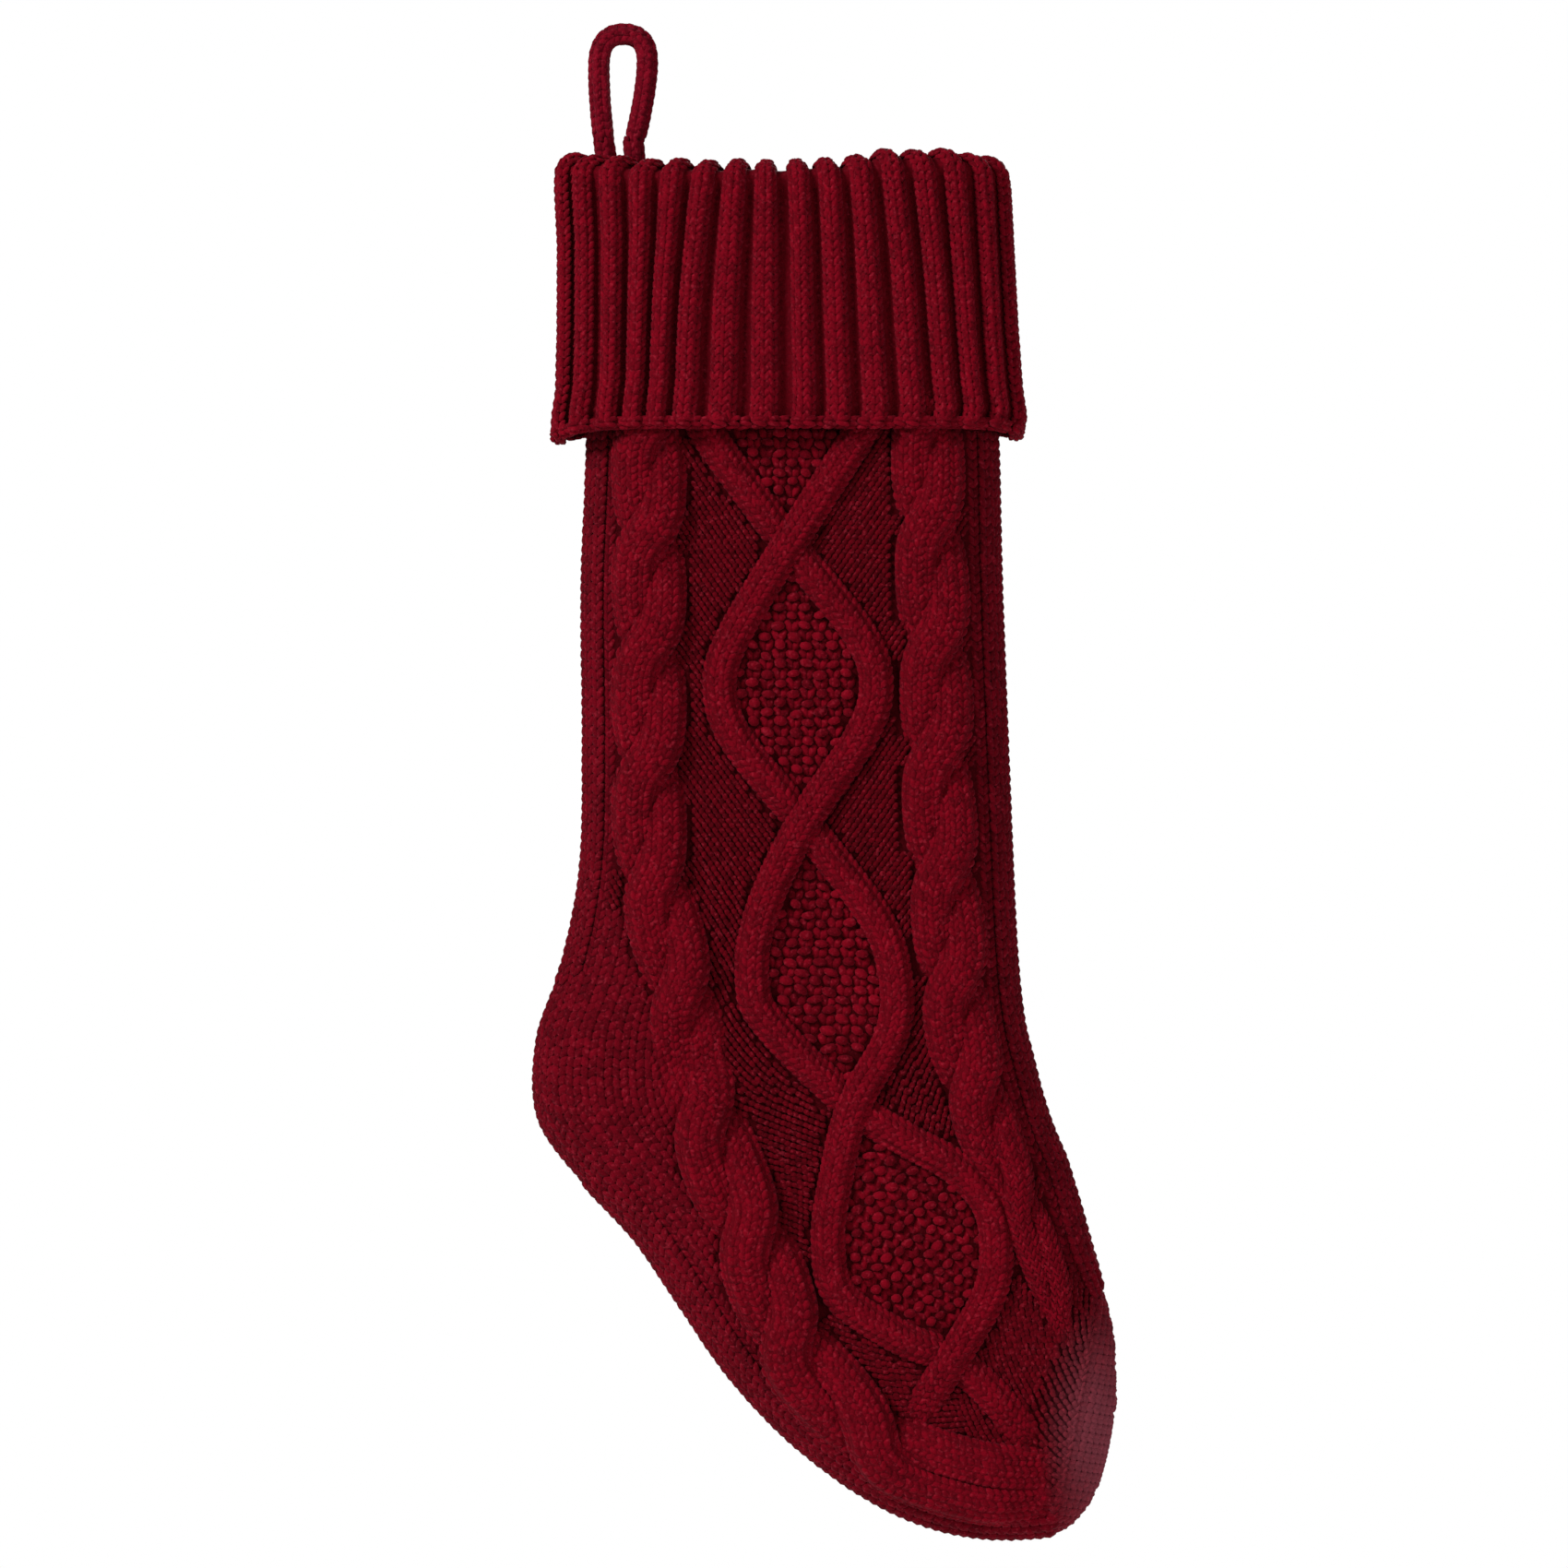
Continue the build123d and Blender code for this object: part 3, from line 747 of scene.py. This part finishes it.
def strandLines(rope):
    # the two strands of a cable: centre line, lift and slimness at even steps
    line = mmLine(rope["line"])
    along = lengthAlong(line)
    way = unit(np.gradient(line, axis=0))
    side = np.stack([-way[:, 1], way[:, 0]], 1)        # towards the instep
    marks = np.interp([-z for z in rope["crossings"]], -line[:, 1], along)
    gap = np.diff(marks)
    marks = np.concatenate([[marks[0] - gap[0]], marks, [marks[-1] + gap[-1]]])
    phase = np.interp(along, marks, math.pi * np.arange(-1, len(marks) - 1))
    if "lastTurn" in rope:
        phase = np.minimum(phase, math.pi * (len(marks) - 3 + rope["lastTurn"]))
    slim = np.ones(len(line))
    if "slim" in rope:
        upper, lower, most = rope["slim"]
        slim = 1 - most * fade(-line[:, 1], upper, lower)
    wave = np.sin(phase) / np.sqrt(np.sin(phase) ** 2 + hump) * math.sqrt(1 + hump)
    lift = np.cos(phase) * np.abs(np.cos(phase)) ** 0.3
    return [(line + side * (sign * wave * rope["swing"] * slim)[:, None], -sign * lift, slim)
            for sign in (1, -1)]


strands = []
for name, rope in ropes.items():
    for letter, (line, lift, slim) in zip("AB", strandLines(rope)):
        strands.append({"name": name + "Cable" + letter, "line": line,
                        "node": rope["node"] + letter.lower(),
                        "lift": lift * ropeLift * rope["rise"] * slim ** 2,
                        "half": rope["half"] * slim, "rise": rope["rise"] * (0.5 + 0.5 * slim),
                        "wales": (-0.82, -0.43, 0, 0.43, 0.82), "waleWide": 0.46})
for letter, course in bands.items():
    line = mmLine(course["line"])
    lift = np.zeros(len(line))
    for sign, spots in ((1, course["over"]), (-1, course["under"])):
        for spot in spots:
            near = np.linalg.norm(line - np.array(spot), axis=1) / band["liftReach"]
            lift += sign * band["lift"] * np.exp(-near ** 2)
    strands.append({"name": "latticeBand" + letter.upper(), "line": line, "lift": lift,
                    "node": "lattice_band_" + letter,
                    "half": np.full(len(line), band["half"]),
                    "rise": np.full(len(line), band["rise"]),
                    "wales": (-0.76, -0.26, 0.26, 0.76), "waleWide": 0.58})

# cables sink into the plain knitting at the ankle and toe
for strand in strands:
    name, along = strand["name"], lengthAlong(strand["line"])
    strand["along"] = along
    strand["ends"] = fade(along[-1] - along, 0, 30 if name.startswith("backCable") else 22)
    if name.startswith("footCable"):
        strand["ends"] *= fade(along, 0, 30)
    strand["margin"] = 0.25 if name.endswith("A") else 0.05
    strand["partner"] = next(t for t in strands if t["name"][:-1] == name[:-1] and t is not strand)


def archOf(across):
    # height of a strand's rounded back, 1 in the middle and 0 at its edges
    return (1 - np.minimum(np.abs(across), 1) ** 2.4) ** 0.6


def standing(rise, lift, ends, arch):
    return (rise * arch + lift * np.minimum(1, arch + 0.35)) * ends - 0.9 * (1 - arch)


def strandSection(strand, s, across, raised=0.0):
    # a place on the arched back of a strand, at arc s; across runs from -1 to 1 over its width
    along = strand["along"]
    p = atLength(strand["line"], along, s)
    _, out = pillow(p, -1)
    front, _ = pillow(atLength(strand["line"], along, np.minimum(s + 1.0, along[-1])), -1)
    rear, _ = pillow(atLength(strand["line"], along, np.maximum(s - 1.0, 0)), -1)
    way = unit(front - rear)
    side = unit(np.cross(way, out))
    half, rise, lift, ends = (np.interp(s, along, strand[key])
                              for key in ("half", "rise", "lift", "ends"))
    spot = p + np.stack([side[:, 0], side[:, 2]], 1) * (half * across)[:, None]
    base, out = pillow(spot, -1)
    lean = math.copysign(0.25 * abs(across) + 0.9 * abs(across) ** 4, across)
    tilted = unit(out * math.cos(lean) + side * math.sin(lean))
    height = standing(rise, lift, ends, archOf(across))
    return base + out * (height + raised)[:, None], way, tilted, half, spot, height


def heightOf(strand, p):
    # how high a strand stands over each place, far below the cloth where it does not reach
    line, half, rise, lift, ends = (strand[key][::2]
                                    for key in ("line", "half", "rise", "lift", "ends"))
    far = np.linalg.norm(p[:, None, :] - line[None, :, :], axis=-1)
    near = far.argmin(1)
    across = far.min(1) / half[near]
    height = standing(rise[near], lift[near], ends[near], archOf(across))
    return np.where(across < 0.97, height, -9.0)


for strand in strands:
    total = strand["along"][-1]
    s = np.linspace(0, total, int(total / 1.6))
    places = np.sin(np.linspace(-math.pi / 2, math.pi / 2, 13))
    grid = [strandSection(strand, s, t, -0.55)[0] for t in places]
    strand["core"] = gridMesh(strand["name"] + "Core", np.array(grid))
    pile = YarnPile()
    for k, across in enumerate(strand["wales"]):
        s = np.arange(1.0 + yarn["ropeRow"] / 2 * (k % 2), total - 1, yarn["ropeRow"])
        place, way, out, half, spot, high = strandSection(strand, s, across)
        seen = heightOf(strand["partner"], spot) < high + strand["margin"]
        pile.knit(place[seen], way[seen], out[seen], (half * strand["waleWide"])[seen],
                  yarn["ropeRow"], 0.21)
    strand["yarn"] = pile.make(strand["name"])

knitPieces = []
for strand in strands:
    # the cores under the strands show between the stitches and take the darker wool: painted shade
    finish(strand["core"], shadedCoreWool)
    finish(strand["yarn"], cableWool, stands=[strand["node"]])
    knitPieces += [strand["core"], strand["yarn"]]
print("cables and lattice made")


# columns of stitches over both faces
def coveredByRope(p):
    # how far inside a strand each place is, as a share of the strand's half width
    cover = np.full(len(p), 9.0)
    for strand in strands:
        line, half, ends = (strand[key][::2] for key in ("line", "half", "ends"))
        for first in range(0, len(p), batch):
            q = p[first:first + batch]
            far = np.linalg.norm(q[:, None, :] - line[None, :, :], axis=-1) / half
            far += 3 * (ends < 0.5)         # a strand that has sunk in covers nothing
            cover[first:first + batch] = np.minimum(cover[first:first + batch], far.min(1))
    return cover


def xOn(line, z):
    # where a line that runs downwards stands at each height
    return np.interp(-z, -line[:, 1], line[:, 0])


def stitchPlaces(face):
    # every stitch of one face: place, directions, width and where it belongs
    found = []
    for wale in range(leg["wales"]):
        line, wide = waleLine(wale)
        body, _ = pillow(line, face)
        along = lengthAlong(body)
        s = np.arange(0.5 * yarn["rowHeight"], along[-1] - 1.0, yarn["rowHeight"])
        row = np.interp(s, along, np.arange(len(line)))
        width = np.interp(row, np.arange(len(line)), wide)
        narrow = width <= leg["narrowWale"]
        keep = (row < toeRow) & (~narrow | (wale % 2 == 0))
        width = np.where(narrow, width * 1.7, width)
        width = width * (1 + 0.35 * fade(row, toeRow - 50, toeRow - 12))
        s, row, width = s[keep], row[keep], width[keep]
        flat = atLength(line, along, s)
        place, out = pillow(flat, face)
        following, _ = pillow(atLength(line, along, s + 0.6), face)
        found.append((np.full(len(s), wale), row, np.arange(len(s)), flat, place,
                      unit(following - place), out, width))
    return [np.concatenate(part) for part in zip(*found)]


def toePlaces(face):
    # columns run straight on from the toe seam and stop at the outline
    across = unit(instepLine[toeRow] - backLine[toeRow])
    ahead = np.array([across[1], -across[0]])
    found = []
    for spot in np.arange(1.2, rowWidth[toeRow] - 0.6, leg["toeWale"]):
        line = acrossRows(spot)[toeRow] + ahead * np.arange(-1.6, 40, 0.3)[:, None]
        gap, _ = toOutline(line)
        line = line[np.cumsum(gap < 0.3) == 0]
        if len(line) < 4:
            continue
        body, _ = pillow(line, face)
        along = lengthAlong(body)
        s = np.arange(0.8, along[-1] + 0.3, yarn["ropeRow"])
        p = atLength(line, along, s)
        place, out = pillow(p, face)
        rear, _ = pillow(atLength(line, along, s - 0.5), face)
        following, _ = pillow(atLength(line, along, s + 0.5), face)
        found.append((place, unit(following - rear), out, np.full(len(s), 4.0)))
    return [np.concatenate(part) for part in zip(*found)]


wale, row, number, flat, place, way, out, width = stitchPlaces(-1)
x, z = flat[:, 0], flat[:, 1]
cover = coveredByRope(flat)
fromHeel = np.linalg.norm(flat - np.array(leg["heel"]), axis=1)
firstInner = leg["edgeWales"] + (row > leg["soleRow"])
lastInner = leg["wales"] - 1 - leg["edgeWales"]
isEdge = (wale < firstInner) | (wale > lastInner)
isGutter = (wale == firstInner) | (wale == lastInner)
isHeel = fromHeel < leg["heelReach"]
# the sole side of the heel and foot is plain
besideFoot = (z < -338) & (x < xOn(mmLine(ropes["foot"]["line"]), z))
besideAnkle = (z < -288) & (z > -345) & (x < xOn(mmLine(ropes["back"]["line"]), z))
soleSide = besideFoot | besideAnkle | (z < -481)
lattice = [xOn(strand["line"], z) for strand in strands if strand["name"].startswith("lattice")]
inside = (x > np.minimum(*lattice)) & (x < np.maximum(*lattice)) & (z > -437)
isSeed = inside & (cover > 0.98) & ~isEdge
isOpen = (cover > 1.04) & ~isEdge & ~isGutter
isPlain = isOpen & (isHeel | soleSide)
isGround = isOpen & ~inside & ~isHeel & ~soleSide
height = yarn["rowHeight"]


def chosen(mask):
    return place[mask], way[mask], out[mask], width[mask]


def knitted(name, material, slot, *groups, stands=()):
    # one piece from groups of places
    pile = YarnPile()
    for group in groups:
        pile.knit(*group)
    knitPieces.append(finish(pile.make(name), material, stands=stands))


spot, down, outward, wide = chosen(isEdge & ~isHeel)
edgePlaces = (spot + outward * 0.5, down, outward, wide, height)
spot, down, outward, wide = chosen(isGutter & ~isHeel & (cover > 0.6))
gutterPlaces = (spot - outward * 0.5, down, outward, wide * 0.86, height)
knitted("frontEdgeKnit", plainWool, "panel_knit", edgePlaces, gutterPlaces)

# purl ground: short slanting bars, mirrored about the middle of the lattice
ground = {"length": 2.8, "width": 2.1, "thick": 1.1, "split": 56,
          "places": ((-0.25, -0.25), (-0.25, 0.25), (0.25, 0.0), (0.25, 0.5))}
spot, down, outward, wide = chosen(isGround)
sideways = unit(np.cross(down, outward))
mirror = np.where((x < 0.5 * sum(lattice))[isGround], 1.0, -1.0)[:, None]
wander = dice.uniform(0.35, 0.95, (len(spot), 1))
leaning = unit(down * 0.75 - sideways * wander * mirror)
for name, half in (("frontPurlBack", spot[:, 0] < ground["split"]),
                   ("frontPurlInstep", spot[:, 0] >= ground["split"])):
    pile = YarnPile()
    for rowsDown, walesOver in ground["places"]:
        bar = (spot + down * (rowsDown * height) + sideways * (walesOver * wide)[:, None]
               + outward * 0.05)
        pile.add(bar[half], leaning[half], outward[half],
                 ground["length"], ground["width"], ground["thick"])
    # the low purl ground takes the darker wool: painted shade
    knitPieces.append(finish(pile.make(name), shadedGroundWool))

# seed stitch: every other stitch is a proud bead
pile = YarnPile()
proud = isSeed & ((number + wale) % 2 == 0)
spot, down, outward, wide = chosen(proud)
spot = spot + dice.uniform(-0.55, 0.55, spot.shape)
lying = unit(np.cross(down, outward) + down * dice.uniform(-0.5, 0.5, (len(spot), 1)))
pile.add(spot + outward * 0.35, lying, outward,
         wide * dice.uniform(0.85, 1.15, len(spot)),
         height * dice.uniform(0.95, 1.25, len(spot)), wide * 0.66)
spot, down, outward, wide = chosen(isSeed & ~proud)
pile.knit(spot - outward * 0.25, down, outward, wide, height)
knitPieces.append(finish(
    pile.make("seedStitch"), seedWool,
    stands=["seed_fill_" + part for part in ("top", "leg", "ankle", "foot")]))
heelRim = isHeel & (isEdge | isGutter) & (fromHeel >= 30)
knitted("heelKnitFront", plainWool, "plain_knit",
        (*chosen(isPlain | (isHeel & (fromHeel < 30))), height), (*chosen(heelRim), height),
        stands=["heel_cup"])
knitted("toeKnitFront", toeSheenWool, "plain_knit", (*toePlaces(-1), yarn["ropeRow"]),
        stands=["toe_cap"])

wale, row, number, flat, place, way, out, width = stitchPlaces(1)
isHeel = np.linalg.norm(flat - np.array(leg["heel"]), axis=1) < leg["heelReach"]
z = flat[:, 1]
for name, low, high in (("backLegKnit", -235, leg["hidden"]), ("backAnkleKnit", -350, -235),
                        ("backFootKnit", -600, -350)):
    knitted(name, plainWool, "panel_knit", (*chosen(~isHeel & (z > low) & (z <= high)), height))
knitted("heelKnitBack", plainWool, "plain_knit", (*chosen(isHeel), height))
knitted("toeKnitBack", toeSheenWool, "plain_knit", (*toePlaces(1), yarn["ropeRow"]))

# sewing along both side edges and across the toe; numbers are length, width and thickness
for name, line, node in (("backSeamStitches", backLine, "back_seam"),
                         ("instepSeamStitches", instepLine, "instep_seam")):
    spot, out = pillow(evenly(line[line[:, 1] < leg["hidden"]], 3.0), -1)
    spot[:, 1] = 0
    run = unit(np.gradient(spot, axis=0))
    slant = unit(np.array([0, 1.0, 0]) + run * 0.45)
    pile = YarnPile()
    pile.add(spot - out * 0.7, slant, out, 4.4, 1.4, 1.3)
    knitPieces.append(finish(pile.make(name), plainWool, stands=[node]))
seamLine = evenly(np.array([backLine[toeRow], instepLine[toeRow]]), 2.6)[1:-1]
pile = YarnPile()
for side in (-1, 1):
    spot, out = pillow(seamLine, side)
    run = unit(np.gradient(spot, axis=0))
    slant = unit(run + unit(np.cross(run, out)) * 0.5)
    pile.add(spot + out * 0.1, slant, out, 3.0, 1.3, 1.1)
knitPieces.append(finish(pile.make("toeSeamStitches"), plainWool,
                         stands=["toe_seam"]))
thicken(legCloth, 2.4)
# the leg cloth under the stitches takes the near-black wool: painted shade in the gaps
finish(legCloth, shadedClothWool, stands=["front_panel", "back_panel"])
print("leg and foot made")

# turned-down cuff
cuff = {
    # height, back edge, instep edge
    "stations": [(-34, -22.2, 127.6), (-42, -21.7, 128.1), (-65, -20.4, 129.2), (-95, -20.5, 130.8),
                 (-112, -21.0, 132.2), (-120, -22.4, 133.6), (-131, -22.6, 131.6)],
    "halfDepth": 25.2,
    "square": 3.6,
    "ribs": 34,
    "ribRise": 1.9,          # rib crest and gutter either side of the mean face
    "ribRow": 2.7,
    "ringLength": 365.0,     # round the outside
    "waleWidth": 2.8,        # three columns make a rib
    "stitchWidth": 3.5,
    "seamAfter": 1.5,        # ribs from the back edge to the sewn seam
    # how far ribs drift round the ring from fold to hem: middle of the spell, its reach, the drift
    "drifts": [(0.175, 0.06, -0.020), (0.37, 0.05, 0.009), (0.72, 0.08, 0.006)],
    "top": -38.0,
    "hem": -126.0,
    "thick": 11.5,           # across the fold, outer face to inner face
    "foldRise": 5.5,
    "insideTo": -118.0,
}
cuffZ, cuffBack, cuffFront = np.array(cuff["stations"], float)[::-1].T
ringTurns = np.linspace(0, 2 * math.pi, 1441)


def ringShape(turn, halfX, halfY):
    # a rounded oblong about the middle
    power = 2 / cuff["square"]
    c, s = np.cos(turn), np.sin(turn)
    return (-halfX * np.sign(c) * np.abs(c) ** power, -halfY * np.sign(s) * np.abs(s) ** power)


refAlong = lengthAlong(np.stack(ringShape(ringTurns, 75, cuff["halfDepth"]), 1))
refAlong /= refAlong[-1]


def ringPlace(share, z, inset):
    # a place on the ring: share runs from the back edge over the front, then the back face
    share = np.asarray(share) % 1.0
    turn = np.interp(share, refAlong, ringTurns)
    back = np.interp(z, cuffZ, cuffBack) + inset
    front = np.interp(z, cuffZ, cuffFront) - inset
    x, y = ringShape(turn, (front - back) / 2, cuff["halfDepth"] - inset)
    return np.stack([x + (front + back) / 2, y], -1)


shoulder = cuff["top"] - cuff["foldRise"]
outerRun = shoulder - cuff["hem"]
foldRun = math.pi / 2 * (cuff["thick"] / 2 + cuff["foldRise"])
cuffRun = outerRun + foldRun + shoulder - cuff["insideTo"]
foldShare = outerRun / cuffRun


def cuffProfile(u):
    # height and inset: u runs from 0 at the hem up to the fold, over it and down inside to 1
    s = u * cuffRun
    turn = np.clip((s - outerRun) / foldRun, 0, 1) * math.pi
    z = np.where(s < outerRun, cuff["hem"] + s, shoulder + cuff["foldRise"] * np.sin(turn))
    inset = np.where(s < outerRun, 0.0, cuff["thick"] / 2 * (1 - np.cos(turn)))
    down = s >= outerRun + foldRun
    z = np.where(down, shoulder - (s - outerRun - foldRun), z)
    inset = np.where(down, cuff["thick"], inset)
    return z, inset


def spell(value, middle, reach, power=2):
    # 1 about the middle, fading out on both sides
    return np.exp(-((value - middle) / reach) ** power)


def ribDrift(share, u):
    # the ribs bend near the fold and then hang nearly straight
    drift = sum(far * spell(share % 1, at, reach) for at, reach, far in cuff["drifts"])
    return share + drift * (1 - np.clip(u / foldShare, 0, 1) ** 2.2)


def cuffPoint(share, u):
    share, u = np.broadcast_arrays(np.asarray(share, float), np.asarray(u, float))
    z, inset = cuffProfile(u)
    share = ribDrift(share, u)
    flat = ringPlace(share, z, inset)
    # the hem hangs lower at both ends, and the fold is a little wavy
    around = share % 1
    corner = spell(np.minimum(around, 1 - around), 0, 0.055)
    tip = spell(around, 0.5, 0.045)
    low = fade(-z, 95, 126) * (u < foldShare)
    z = z - low * (4.2 * corner + 3.2 * tip)
    high = spell(u, foldShare + 0.03, 0.06)
    dips = 2.0 * spell(around, 0.205, 0.12, 4) + 4.2 * spell(around, 0.76, 0.15, 4)
    peaks = 2.0 * spell(around, 0.385, 0.06, 4) + 1.7 * corner
    z = z + high * (peaks - dips + 0.3 * np.sin(share * 95))
    return np.stack([flat[..., 0], flat[..., 1], z], -1)


def cuffFrame(share, u):
    p = cuffPoint(share, u)
    up = unit(cuffPoint(share, u + 0.003) - cuffPoint(share, u - 0.003))
    roundWay = unit(cuffPoint(share + 0.0008, u) - cuffPoint(share - 0.0008, u))
    return p, up, roundWay, unit(np.cross(roundWay, up))


def ribWave(share):
    # 1 on the crest of a rib, -1 in the gutter
    wave = np.cos(2 * math.pi * share * cuff["ribs"])
    return np.sign(wave) * np.abs(wave) ** 0.5


def ribHeight(share, u):
    tame = 1 - 0.35 * spell(u, foldShare + 0.02, 0.03)
    return cuff["ribRise"] * ribWave(share) * tame


seamShare = cuff["seamAfter"] / cuff["ribs"]
ringCount = cuff["ribs"] * 12
rowCount = 90
shareGrid, uGrid = (grid.ravel() for grid in np.meshgrid(np.arange(ringCount) / ringCount,
                                                         np.linspace(0, 1, rowCount)))
p, up, roundWay, out = cuffFrame(shareGrid, uGrid)
groove = spell(shareGrid * cuff["ringLength"], seamShare * cuff["ringLength"], 2.2)
lift = ribHeight(shareGrid, uGrid) - 0.7 - 1.6 * groove * (uGrid < foldShare)
grid = (p + out * lift[:, None]).reshape(rowCount, ringCount, 3)
cuffCloth = gridMesh("cuffCloth", grid, closed=True)
cleanMesh(cuffCloth, mergeWithin=0.02)
print("cuff cloth area", round(sum(f.area for f in cuffCloth.data.polygons), 4))

waleShare = cuff["waleWidth"] / cuff["ringLength"]
ribRow = cuff["ribRow"]
foldFrom, foldTo = foldShare - 0.02, foldShare + 0.13
cuffPiles = {name: YarnPile() for name in (
    "cuffRibFront", "cuffRibBack", "cuffPurlGutters", "cuffFoldKnit", "mouthRibKnit")}
rowsU = np.arange(0.012, 1 - 0.02, ribRow / cuffRun)
for middleShare in np.arange(cuff["ribs"]) / cuff["ribs"]:
    ribPiece = "cuffRibFront" if middleShare <= 0.5 else "cuffRibBack"
    for side in (-1, 0, 1):
        share = middleShare + side * waleShare
        u = rowsU + dice.uniform(-0.1, 0.1) * ribRow / cuffRun
        p, up, roundWay, out = cuffFrame(share, u)
        sideways = unit(out * 0.86 + roundWay * side * 0.75)
        lift = ribHeight(middleShare + side * waleShare * 0.5, u) - 0.8 * abs(side)
        spot = p + out * lift[:, None]
        for name, mask in ((ribPiece, u < foldFrom),
                           ("cuffFoldKnit", (u >= foldFrom) & (u < foldTo)),
                           ("mouthRibKnit", u >= foldTo)):
            cuffPiles[name].knit(spot[mask], -up[mask], sideways[mask], cuff["stitchWidth"],
                                 ribRow, 0.2)
    share = middleShare + 0.5 / cuff["ribs"]
    if abs(share - seamShare) > 0.01:
        u = rowsU[rowsU < foldShare + 0.1]
        p, up, roundWay, out = cuffFrame(share, u)
        cuffPiles["cuffPurlGutters"].add(p - out * (cuff["ribRise"] + 1.0),
                                         unit(np.cross(up, out)), out, 2.85, 2.58, 1.2, across=up)
cuffNodes = {"cuffRibFront": ["cuff_rib"], "cuffFoldKnit": ["cuff_fold"],
             "mouthRibKnit": ["mouth_rib"]}
# the purl in the rib gutters takes the darker ground wool: painted shade in the gutters
cuffPieces = [finish(pile.make(name), shadedGroundWool if name == "cuffPurlGutters" else ribWool,
                     stands=cuffNodes.get(name, ()))
              for name, pile in cuffPiles.items()]

# sewn seam in its groove
pile = YarnPile()
u = rowsU[rowsU < foldShare + 0.02]
p, up, roundWay, out = cuffFrame(seamShare, u)
pile.add(p - out * 2.3, unit(roundWay + up * 0.5), out, 2.8, 1.5, 1.4,
         across=unit(np.cross(roundWay, out)))
cuffPieces.append(finish(pile.make("cuffSeamStitches"), sewingWool,
                         stands=["cuff_seam"]))

# bound-off hem: a chain of stitches lying along the edge
hemShares = np.arange(0, 1, 3.4 / cuff["ringLength"])
pile = YarnPile()
for drop, proud, lean in ((0.5, 0.1, 0.22), (-1.0, -0.1, -0.22), (-1.9, -1.4, 0.22)):
    p, up, roundWay, out = cuffFrame(hemShares, np.full(len(hemShares), 0.004))
    wave = ribHeight(hemShares, 0.0) * 0.5
    way = unit(roundWay + up * lean)
    spot = p + up * drop + out * (proud + wave)[:, None]
    pile.add(spot, way, out, 5.6, 2.3, 2.3)
cuffPieces.append(finish(pile.make("cuffHemKnit"), ribWool, stands=["cuff_hem"]))
thicken(cuffCloth, 2.0)
# the cuff cloth under the ribs takes the darker core wool: painted shade between the stitches
finish(cuffCloth, shadedCoreWool)

# tack inside the mouth that holds the loop's tails
tackLow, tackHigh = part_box("loop_tack")
pile = YarnPile()
for x, lean in zip(np.linspace(tackLow.x / mm + 1.5, tackHigh.x / mm - 1.5, 9), [-0.3, 0.3] * 5):
    z = (tackLow.z + tackHigh.z) / 2 / mm + lean * 7 / 3
    centre = np.array([[x, tackLow.y / mm + 1.2, z]])
    pile.add(centre, np.array([[lean, 0, 1.0]]), np.array([[0, -1.0, 0]]), 6.0, 1.9, 2.4,
             across=np.array([[1.0, 0, 0]]))
finish(pile.make("loopTackStitches"), sewingWool, stands=["loop_tack"])
print("cuff made")
